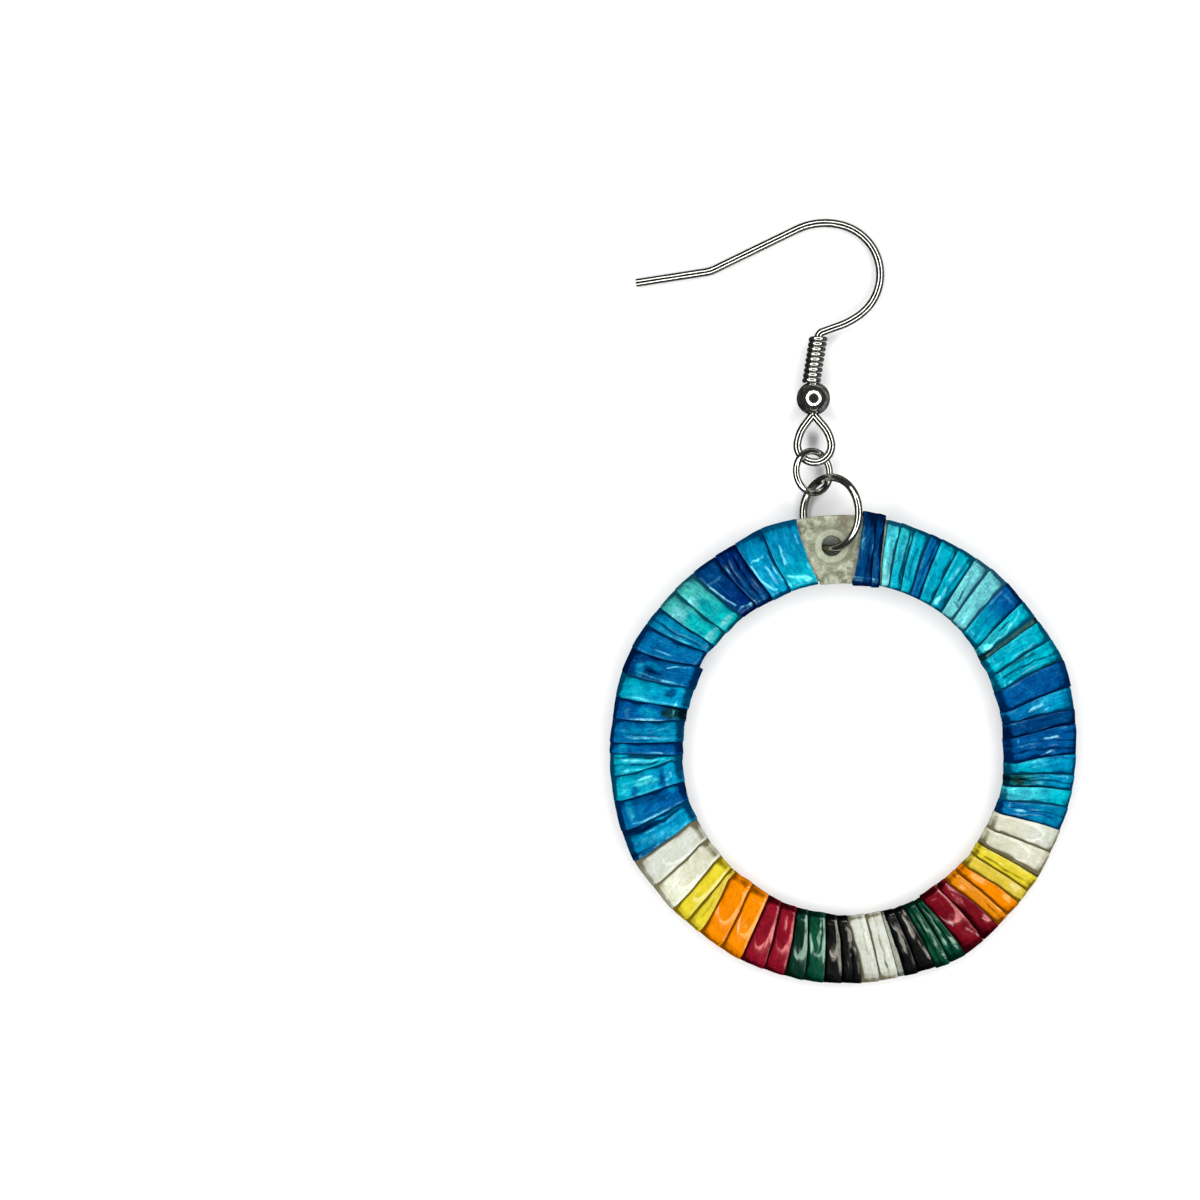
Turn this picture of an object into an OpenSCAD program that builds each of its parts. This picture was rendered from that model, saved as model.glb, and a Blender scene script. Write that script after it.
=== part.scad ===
// Quill hoop earring: a rawhide hoop wrapped in dyed quills, hung by two jump
// rings from a fish-hook ear wire with a coil and a ball. It lies flat, face up.
// The surface is z = 0, the hook is at +Y and the hoop at -Y.

/* [Hoop] */
// Outer radius of the rawhide under the quills
hide_out = 19.95; // [19.8:0.05:20.1]
// Inner radius of the rawhide under the quills
hide_in = 14.98; // [14.9:0.02:15.1]
// Outer radius of the rawhide where it is bare
bare_out = 20.62; // [20.4:0.02:20.7]
// Inner radius of the rawhide where it is bare
bare_in = 14.62; // [14.5:0.02:14.8]
// Thickness of the rawhide
hide_t = 1; // [0.9:0.05:1.05]
// Softened edge of the rawhide
hide_edge = 0.14; // [0.1:0.02:0.2]
// Distance from the middle of the earring to the middle of the hoop
hoop_drop = 13.15; // [13.1:0.05:13.2]

/* [Hole] */
// Diameter of the hole that the hoop ring passes through
hole_d = 1.9; // [1.9:0.02:2]
// Distance of the hole from the middle of the hoop
hole_r = 17.94; // [17.9:0.02:18]
// Direction of the hole, clockwise from the top
hole_deg = -3.4; // [-4:0.2:-3]
// Worn edge of the hole
hole_edge = 0.22; // [0.2:0.02:0.26]

/* [Quills] */
// Height of a turn above the rawhide at its raised edge
turn_high = 0.5; // [0.48:0.01:0.54]
// Height of a turn where it slips under the next one
turn_low = 0.25; // [0.22:0.01:0.26]
// Height of a turn round the rims, where it meets the next one
turn_rim = 0.4; // [0.36:0.01:0.44]
// Clearance between a turn and the rawhide
turn_clear = 0.1; // [0.09:0.01:0.1]
// Underside of a raised edge, above the rawhide
lip_under = 0.34; // [0.33:0.01:0.36]
// How far a turn slips under the next one, in degrees
lap_deg = 1; // [0.8:0.1:1.2]

/* [Rings] */
// Wire diameter of the ring through the hoop
hoop_ring_wire = 0.68; // [0.6:0.02:0.7]
// Radius of that ring, to the middle of its wire
hoop_ring_r = 3.12; // [3.1:0.01:3.14]
// Tilt of that ring out of the surface
hoop_ring_tilt = 42; // [42:0.5:44]
// Wire diameter of the small ring
link_ring_wire = 0.6; // [0.5:0.02:0.6]
// Radius of the small ring, to the middle of its wire
link_ring_r = 1.84; // [1.82:0.01:1.88]
// Tilt of the small ring out of the surface
link_ring_tilt = 35; // [34:0.5:37]
// Gap where a ring is bent shut
ring_gap = 0.1; // [0.05:0.05:0.2]

/* [Ear wire] */
// Diameter of the ear wire
wire_d = 0.7; // [0.6:0.02:0.7]
// Diameter of the ball
ball_d = 2.94; // [2.8:0.02:3]
// Bore of the ball
ball_bore = 1.24; // [1.2:0.02:1.3]
// Diameter of the coil's wire
coil_wire = 0.42; // [0.38:0.01:0.43]
// Radius of the coil, to the middle of its wire
coil_r = 0.61; // [0.6:0.01:0.65]
// Rise of each turn of the coil
coil_pitch = 0.46; // [0.45:0.005:0.47]
// Number of turns of the coil
coil_turns = 8.6; // [8:0.1:8.8]

/* [Hidden] */
$fn = 64;

// Columns of QUILLS: dye, start at the outer and at the inner edge in degrees
// clockwise from the top, number of turns, and how far the turned rim stands
// out at the outer and at the inner edge, in millimetres.
DYE = 0;
OUTER = 1;
INNER = 2;
TURNS = 3;
RIM_OUT = 4;
RIM_IN = 5;
QUILLS = [
    ["deep_blue", 4.7, 3.2, 2, 0.5, 0.05],
    ["aqua", 11, 12.7, 2, 0.1, 0],
    ["turquoise", 17.9, 19.5, 1, 0, 0],
    ["blue", 22, 23, 1, 0, 0],
    ["turquoise", 25, 26.5, 2, 0, 0],
    ["pale_aqua", 34.5, 35.3, 2, 0.05, 0],
    ["blue", 44.3, 45.3, 1, 0.1, 0],
    ["turquoise", 50.3, 52.5, 1, 0, 0],
    ["cyan", 56.5, 57.2, 2, 0.1, 0.2],
    ["blue", 67.5, 69, 2, 0.35, 0.4],
    ["deep_blue", 79.8, 80.7, 2, 0.05, 0.45],
    ["blue", 91, 94.7, 1, 0, 0.4],
    ["turquoise", 96.2, 98.3, 2, 0, 0.25],
    ["blue", 104.4, 107.3, 1, 0, 0.2],
    ["white", 110.3, 112, 2, 0, 0.3],
    ["yellow", 123.2, 124.5, 2, 0, 0.15],
    ["orange", 131, 133.7, 2, 0.05, 0.1],
    ["crimson", 138.7, 141.7, 2, 0.2, 0.1],
    ["dark_green", 149.2, 152.5, 2, 0.5, 0],
    ["black", 157, 159, 2, 0.25, 0],
    ["white", 166.3, 167, 2, 0.1, 0],
    ["black", 175.4, 178.7, 2, 0.05, 0],
    ["dark_green", 184.8, 186, 2, 0.1, 0.05],
    ["crimson", 194.7, 196.3, 2, 0.05, 0.1],
    ["orange", 206.3, 207, 2, 0, 0.25],
    ["yellow", 218.3, 222, 2, 0, 0.2],
    ["white", 227, 229.3, 2, 0.1, 0.35],
    ["blue", 242, 244.8, 2, 0.35, 0.3],
    ["turquoise", 257.3, 259, 2, 0.1, 0.35],
    ["blue", 269.3, 268.5, 2, 0.05, 0.45],
    ["turquoise", 278, 280.3, 2, 0, 0.45],
    ["blue", 289.5, 292, 2, 0.15, 0.3],
    ["turquoise", 302.7, 305.7, 1, 0.05, 0],
    ["aqua", 308, 309, 2, 0, 0.05],
    ["deep_blue", 319.8, 323, 2, 0, 0],
    ["turquoise", 332.3, 335, 2, 0.2, 0],
];
// Where the last turn ends, at the outer and at the inner edge
LAST_OUTER = 348.3;
LAST_INNER = 351.3;

// Columns of a wire run: straight stretch, then a turn in degrees, to the left
// if it is above zero, and the radius of that turn
STRAIGHT = 0;
TURN = 1;
BEND_R = 2;
// From the top of the eye up through the ball and the coil, over the arch and
// down to the tail
HOOK_RUN = [
    [2, -16, 2.9],
    [4.02, -61.4, 0.6],
    [1.54, 12.4, 6.3],
    [0.3, 136.4, 4.5],
    [0.1, 37.7, 5.75],
    [8, -17.3, 2.7],
    [6.2, 0, 0],
];
// From the top of the eye round the eye and back
EYE_RUN = [
    [0, 33.5, 0.5],
    [1.05, -25.4, 3.2],
    [0.1, -209, 1.5],
    [0.3, -23.2, 3],
    [1.15, 0, 0],
];
HOOK_HEADING = 96.9;
EYE_HEADING = HOOK_HEADING + 180;

// Top of the eye on the surface, and the ball and coil from there
EYE_X = -2.55;
EYE_Y = 16.36;
BALL_X = -0.05;
BALL_Y = 1.34;
COIL_START = 0.02;
// The hook tips down until its arch and tail touch the surface
LEAN_HEADING = 18.5;
LEAN_ARM = 14.76;
hook_lean = asin((ball_d - wire_d) / 2 / LEAN_ARM);
ball_rise = BALL_Y * cos(LEAN_HEADING) - BALL_X * sin(LEAN_HEADING);
eye_z = ball_d / 2 + ball_rise * sin(hook_lean);

// The hoop ring lies on its lowest side and lifts the top of the hoop
HOOP_RING_X = -1.11;
HOOP_RING_Y = 7.62;
hoop_ring_z = hoop_ring_r * sin(hoop_ring_tilt) + hoop_ring_wire / 2;
LINK_RING_X = -2.66;
LINK_RING_Y = 11.22;
LINK_RING_Z = 2.06;
LINK_RING_TURN = 8;
// Where each ring is bent shut, in its own plane
HOOP_RING_GAP_DEG = 115;
LINK_RING_GAP_DEG = 262;
rim_top = hide_t / 2 + turn_high;
hoop_lean = asin((hoop_ring_z - rim_top) / (hide_out + hole_r));
hoop_z = rim_top * cos(hoop_lean) + hide_out * sin(hoop_lean);

// Sides of the band's section, and steps of the coil
CORNERS = 4;
CORNER_POINTS = 3;
SECTION = CORNERS * CORNER_POINTS;
// How much of its height a quill keeps on the bend of a corner
BEND_SHARE = 0.75;
COIL_STEPS = 14;
COIL_SIDES = 6;
RING_FN = 96;
WIRE_FN = 48;
// A straight of the ear wire tucks into the bends beside it, which are a hair
// thicker
WIRE_TUCK = 0.02;
BEND_SWELL = 0.01;
// Small angle between the top and the foot of a raised edge
STEP_DEG = 0.12;
// How far the inside of a raised edge reaches past the tail under it
LIP_STEP_DEG = 0.5;
// How much lower a turn is at the end of its tail
TAIL_THINS = 0.02;
// Share of a turn's reach past the rims at its end, and inside its raised edge
REACH_END = 0.8;
REACH_UNDER = 0.2;

function quill_name(i) = str("quill_", i + 1, "_", QUILLS[i][DYE]);

// Colour of each dye
function dye_colour(dye) =
    dye == "deep_blue" ? [0.02, 0.16, 0.55] :
    dye == "blue" ? [0.03, 0.36, 0.72] :
    dye == "turquoise" ? [0.02, 0.58, 0.7] :
    dye == "cyan" ? [0.05, 0.7, 0.78] :
    dye == "aqua" ? [0.2, 0.68, 0.7] :
    dye == "pale_aqua" ? [0.45, 0.76, 0.74] :
    dye == "white" ? [0.93, 0.92, 0.86] :
    dye == "yellow" ? [0.93, 0.83, 0.2] :
    dye == "orange" ? [0.98, 0.55, 0.05] :
    dye == "crimson" ? [0.5, 0.03, 0.12] :
    dye == "dark_green" ? [0.02, 0.27, 0.18] :
    [0.05, 0.05, 0.06];

// Moves a piece of the hoop to its place, with its top end lifted
module on_hoop() {
    translate([0, -hoop_drop, hoop_z])
        rotate([hoop_lean, 0, 0])
            children();
}

// Moves a piece of the ear wire to its place, with the hook tipped down
module on_ear_wire() {
    translate([EYE_X, EYE_Y, eye_z])
        rotate(a = -hook_lean, v = [cos(LEAN_HEADING), sin(LEAN_HEADING), 0])
            children();
}

// Flat ring of rawhide with softened edges
module hide_band(r_in, r_out) {
    rotate_extrude($fn = RING_FN)
        polygon([
            [r_in + hide_edge, -hide_t / 2],
            [r_out - hide_edge, -hide_t / 2],
            [r_out, -hide_t / 2 + hide_edge],
            [r_out, hide_t / 2 - hide_edge],
            [r_out - hide_edge, hide_t / 2],
            [r_in + hide_edge, hide_t / 2],
            [r_in, hide_t / 2 - hide_edge],
            [r_in, -hide_t / 2 + hide_edge],
        ]);
}

function polar(r, deg) = [r * sin(deg), r * cos(deg)];

// The stretch that no quill covers, kept clear of the quills beside it
module bare_stretch() {
    beside = 0.5;
    reach = 0.3;
    after = [
        polar(hide_in, LAST_INNER + beside),
        polar(hide_out, LAST_OUTER + beside),
    ];
    before = [
        polar(hide_in, QUILLS[0][INNER] - beside),
        polar(hide_out, QUILLS[0][OUTER] - beside),
    ];
    linear_extrude(2 * hide_t, center = true)
        polygon([
            after[0] + (after[0] - after[1]) * reach,
            after[1] + (after[1] - after[0]) * reach,
            before[1] + (before[1] - before[0]) * reach,
            before[0] + (before[0] - before[1]) * reach,
        ]);
}

module hide() {
    color([0.72, 0.72, 0.66])
        on_hoop()
            difference() {
                union() {
                    hide_band(hide_in, hide_out);
                    intersection() {
                        hide_band(bare_in, bare_out);
                        bare_stretch();
                    }
                }
                translate(polar(hole_r, hole_deg)) {
                    cylinder(h = 2 * hide_t, d = hole_d, center = true);
                    for (side = [-1, 1])
                        rotate([side > 0 ? 0 : 180, 0, 0])
                            translate([0, 0, hide_t / 2 - hole_edge])
                                cylinder(
                                    h = 2 * hole_edge,
                                    r1 = hole_d / 2,
                                    r2 = hole_d / 2 + 2 * hole_edge
                                );
                }
            }
}

// Where a quill, or the bare stretch after the last one, starts
function start_outer(i) = i < len(QUILLS) ? QUILLS[i][OUTER] : LAST_OUTER;
function start_inner(i) = i < len(QUILLS) ? QUILLS[i][INNER] : LAST_INNER;

// Point n of the band's section at a height above the flat sides of the rawhide
// and a reach past its rims. Each corner has a point on the flat side, one on
// the bend and one on the rim.
function section_point(n, height, reach_out, reach_in) =
    let (
        corner = floor(n / CORNER_POINTS),
        odd = corner % 2,
        step = odd ? CORNER_POINTS - 1 - n % CORNER_POINTS : n % CORNER_POINTS,
        outer = corner < 2,
        up = (corner == 0 || corner == 3) ? 1 : -1,
        away = outer ? 1 : -1,
        edge = outer ? hide_out : hide_in,
        reach = outer ? reach_out : reach_in,
        bend = hide_edge / 2,
        r = step == 0 ? edge - away * hide_edge :
            step == 1 ? edge + away * (BEND_SHARE * reach - bend) :
            edge + away * reach,
        z = step == 0 ? hide_t / 2 + height :
            step == 1 ? hide_t / 2 - bend + BEND_SHARE * height :
            hide_t / 2 - hide_edge
    )
    [r, up * z];

// The same point placed round the hoop, on the slanted line between the angles
// that the turn has at the outer and at the inner edge
function placed(point, outer_deg, inner_deg) =
    let (
        share = (point[0] - hide_in) / (hide_out - hide_in),
        deg = inner_deg + (outer_deg - inner_deg) * min(1, max(0, share)),
        at = polar(point[0], deg)
    )
    [at[0], at[1], point[1]];

// Columns of a quill's rows: outer angle, inner angle, height above the flat
// sides, height above the rims, and the share of its own reach past the rims
ROW_OUTER = 0;
ROW_INNER = 1;
ROW_FLAT = 2;
ROW_RIM = 3;
ROW_REACH = 4;

// Rows round one quill: the outside first, turn by turn, then the inside on the
// way back
function quill_rows(i) =
    let (
        q = QUILLS[i],
        first = i == 0,
        last = i == len(QUILLS) - 1,
        o0 = q[OUTER],
        n0 = q[INNER],
        o_wide = start_outer(i + 1) - o0,
        n_wide = start_inner(i + 1) - n0,
        turns = q[TURNS],
        tail = last ? 0 : lap_deg - LIP_STEP_DEG / 2,
        tail_high = turn_low - TAIL_THINS,
        lip_end = lap_deg + LIP_STEP_DEG
    )
    concat(
        [for (k = [0 : turns - 1], end = [0, 1])
            let (share = (k + end) / turns, back = end * STEP_DEG)
            [
                o0 + o_wide * share - back,
                n0 + n_wide * share - back,
                end ? turn_low : turn_high,
                end ? turn_rim : turn_high,
                end ? REACH_END : 1,
            ]
        ],
        [[o0 + o_wide, n0 + n_wide, turn_low, turn_low, 0]],
        last ? [] : [[o0 + o_wide + tail, n0 + n_wide + tail, tail_high, tail_high, 0]],
        [[o0 + o_wide + tail, n0 + n_wide + tail, turn_clear, turn_clear, 0]],
        turns == 1 ? [] : [[o0 + o_wide / 2, n0 + n_wide / 2, turn_clear, turn_clear, 0]],
        first
            ? [[o0, n0, turn_clear, turn_clear, 0]]
            : [
                [o0 + lip_end, n0 + lip_end, turn_clear, turn_clear, 0],
                [o0 + lap_deg, n0 + lap_deg, lip_under, lip_under, REACH_UNDER],
                [o0, n0, lip_under, lip_under, REACH_UNDER],
            ]
    );

// A closed tube from rings of points, the last ring joined to the first
module ring_of_loops(loops) {
    m = len(loops);
    n = len(loops[0]);
    polyhedron(
        points = [for (loop = loops) for (p = loop) p],
        faces = [
            for (a = [0 : m - 1], b = [0 : n - 1])
                let (
                    a2 = (a + 1) % m,
                    b2 = (b + 1) % n,
                    p = a * n + b,
                    q = a2 * n + b,
                    r = a2 * n + b2,
                    s = a * n + b2
                )
                for (face = [[p, q, r], [p, r, s]]) face
        ]
    );
}

module quill(i) {
    q = QUILLS[i];
    color(dye_colour(q[DYE]))
        on_hoop()
            ring_of_loops([
                for (row = quill_rows(i))
                    let (
                        reach_out = row[ROW_RIM] + q[RIM_OUT] * row[ROW_REACH],
                        reach_in = row[ROW_RIM] + q[RIM_IN] * row[ROW_REACH]
                    )
                    [
                        for (n = [0 : SECTION - 1])
                            placed(
                                section_point(n, row[ROW_FLAT], reach_out, reach_in),
                                row[ROW_OUTER],
                                row[ROW_INNER]
                            )
                    ]
            ]);
}

// Ring of round wire, open by a narrow gap in the given direction
module jump_ring(r, wire, gap_deg) {
    open = ring_gap / r * 180 / PI;
    rotate_extrude(angle = 360 - open, start = gap_deg + open / 2, $fn = RING_FN)
        translate([r, 0])
            circle(d = wire, $fn = WIRE_FN);
}

module hoop_ring() {
    color([0.75, 0.75, 0.77])
        translate([HOOP_RING_X, HOOP_RING_Y, hoop_ring_z])
            rotate([0, -hoop_ring_tilt, 0])
                jump_ring(hoop_ring_r, hoop_ring_wire, HOOP_RING_GAP_DEG);
}

module link_ring() {
    color([0.75, 0.75, 0.77])
        translate([LINK_RING_X, LINK_RING_Y, LINK_RING_Z])
            rotate([0, 0, LINK_RING_TURN])
                rotate([0, link_ring_tilt, 0])
                    jump_ring(link_ring_r, link_ring_wire, LINK_RING_GAP_DEG);
}

// Goes on from the end of one row of a wire run to the start of the next
module past_row(row) {
    side = sign(row[TURN]);
    translate([row[STRAIGHT], side * row[BEND_R], 0])
        rotate([0, 0, row[TURN]])
            translate([0, -side * row[BEND_R], 0])
                children();
}

// Round wire along the rows of a run, starting along +X
module wire_run(rows, i = 0) {
    row = rows[i];
    side = sign(row[TURN]);
    if (row[STRAIGHT] > 0)
        translate([-WIRE_TUCK, 0, 0])
            rotate([0, 90, 0])
                cylinder(h = row[STRAIGHT] + 2 * WIRE_TUCK, d = wire_d, $fn = WIRE_FN);
    if (side != 0)
        translate([row[STRAIGHT], side * row[BEND_R], 0])
            rotate_extrude(
                angle = abs(row[TURN]),
                start = side > 0 ? -90 : 90 + row[TURN],
                $fn = RING_FN
            )
                translate([row[BEND_R], 0])
                    circle(d = wire_d + BEND_SWELL, $fn = WIRE_FN);
    if (i < len(rows) - 1)
        past_row(row)
            wire_run(rows, i + 1);
}

module ear_wire() {
    color([0.75, 0.75, 0.77])
        on_ear_wire() {
            rotate([0, 0, HOOK_HEADING])
                wire_run(HOOK_RUN);
            rotate([0, 0, EYE_HEADING])
                wire_run(EYE_RUN);
        }
}

module ball() {
    color([0.75, 0.75, 0.77])
        on_ear_wire()
            translate([BALL_X, BALL_Y, 0])
                rotate([90, 0, 0])
                    difference() {
                        sphere(d = ball_d);
                        cylinder(h = 2 * ball_d, d = ball_bore, center = true);
                    }
}

// Ring of points round the coil's wire at one step of its helix
function coil_loop(step) =
    let (deg = step * 360 / COIL_STEPS, rise = step * coil_pitch / COIL_STEPS)
    [
        for (side = [0 : COIL_SIDES - 1])
            let (
                round = side * 360 / COIL_SIDES,
                r = coil_r + coil_wire / 2 * sin(round)
            )
            [rise + coil_wire / 2 * cos(round), r * cos(deg), r * sin(deg)]
    ];

module wire_coil() {
    steps = round(coil_turns * COIL_STEPS);
    ends = [
        [for (side = [0 : COIL_SIDES - 1]) COIL_SIDES - 1 - side],
        [for (side = [0 : COIL_SIDES - 1]) steps * COIL_SIDES + side],
    ];
    sides = [
        for (step = [0 : steps - 1], side = [0 : COIL_SIDES - 1])
            let (
                next = (side + 1) % COIL_SIDES,
                p = step * COIL_SIDES + side,
                q = step * COIL_SIDES + next,
                r = q + COIL_SIDES,
                s = p + COIL_SIDES
            )
            for (face = [[p, q, r], [p, r, s]]) face
    ];
    color([0.7, 0.7, 0.72])
        on_ear_wire()
            rotate([0, 0, HOOK_HEADING])
                past_row(HOOK_RUN[0])
                    translate([COIL_START, 0, 0])
                        polyhedron(
                            points = [for (step = [0 : steps]) for (p = coil_loop(step)) p],
                            faces = concat(ends, sides)
                        );
}

hide();
hoop_ring();
link_ring();
ear_wire();
wire_coil();
ball();
for (i = [0 : len(QUILLS) - 1])
    quill(i);
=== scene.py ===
"""Dresses the quill hoop earring: dyed quills wound turn by turn over rawhide,
bright plated wire, a pale table and a ring of soft lamps."""

import math
from collections import namedtuple

import bmesh
import bpy
from mathutils import Matrix, Vector, noise


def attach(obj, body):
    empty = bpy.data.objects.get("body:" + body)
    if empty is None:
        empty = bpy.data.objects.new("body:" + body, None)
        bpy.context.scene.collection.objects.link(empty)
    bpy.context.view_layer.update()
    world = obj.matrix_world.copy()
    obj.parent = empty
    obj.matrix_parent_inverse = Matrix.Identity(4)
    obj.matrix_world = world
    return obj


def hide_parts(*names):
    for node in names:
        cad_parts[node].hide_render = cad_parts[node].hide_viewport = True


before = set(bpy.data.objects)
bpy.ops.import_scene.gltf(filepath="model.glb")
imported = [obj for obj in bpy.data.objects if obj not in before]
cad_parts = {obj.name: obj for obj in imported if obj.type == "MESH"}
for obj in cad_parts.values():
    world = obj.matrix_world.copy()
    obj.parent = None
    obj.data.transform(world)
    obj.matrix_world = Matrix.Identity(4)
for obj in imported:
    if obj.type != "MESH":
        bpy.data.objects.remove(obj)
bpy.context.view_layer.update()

MM = 0.001
# Pixels of the photograph to a millimetre of the earring
PIXELS_PER_MM = 11.4

# The rawhide band that the quills are wound round: its radii under the quills and
# on the bare stretch, its thickness, the round of its edges, and its hole
HIDE_OUT = 19.95
HIDE_IN = 14.98
BARE_OUT = 20.62
BARE_IN = 14.62
HIDE_T = 1.0
HIDE_EDGE = 0.14
BAND = HIDE_OUT - HIDE_IN
BAND_MID = (HIDE_OUT + HIDE_IN) / 2
HOLE_R = 17.94
HOLE_DEG = -3.4
HOLE_D = 1.9

# Where the hoop lies, and how far its top end is lifted
HOOP_PLACE = (0, -13.15, 1.7512)
HOOP_LEAN = 2.1594

# Where the ear wire's eye is, how far the hook tips down and about what heading
EYE_PLACE = (-2.55, 16.36, 1.5676)
HOOK_LEAN = 4.352
LEAN_HEADING = 18.5

# Wall of a flattened quill, and the most that a wall is raised
QUILL_WALL = 0.12
RISE = 1.4
# Heights above the rawhide: at the free edge of a turn, where it goes under the
# next one, and at the end of its tail
LIP_TOP = 0.46
LIP_EDGE = 0.4
TURN_END = 0.25
TAIL_END = 0.23
LAP_DEG = 0.75

# Part of the light given back by a thing that looks just white
LIT = 0.74
# Colours of the dyes as they look in even light, from 0 to 255
NAVY = (0, 40, 106)
DEEP_BLUE = (0, 61, 117)
BLUE = (0, 83, 148)
MID_BLUE = (0, 99, 157)
SEA_BLUE = (0, 126, 171)
LIGHT_BLUE = (0, 144, 189)
DEEP_TEAL = (0, 98, 112)
GREEN_AQUA = (0, 168, 176)
TURQUOISE = (0, 157, 185)
CYAN = (0, 173, 197)
BRIGHT_AQUA = (60, 192, 208)
AQUA = (36, 176, 189)
PALE_AQUA = (104, 195, 203)
SEA_GREEN = (64, 176, 174)
IVORY = (216, 217, 195)
WHITE = (212, 217, 204)
GREY_WHITE = (200, 204, 192)
CHALK = (237, 241, 219)
YELLOW = (227, 209, 50)
WARM_YELLOW = (221, 196, 66)
ORANGE = (243, 138, 0)
DEEP_ORANGE = (228, 138, 14)
CRIMSON = (133, 18, 36)
DARK_CRIMSON = (116, 14, 28)
DARK_GREEN = (10, 70, 50)
DEEPER_GREEN = (12, 46, 34)
BLACK = (21, 22, 22)

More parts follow.
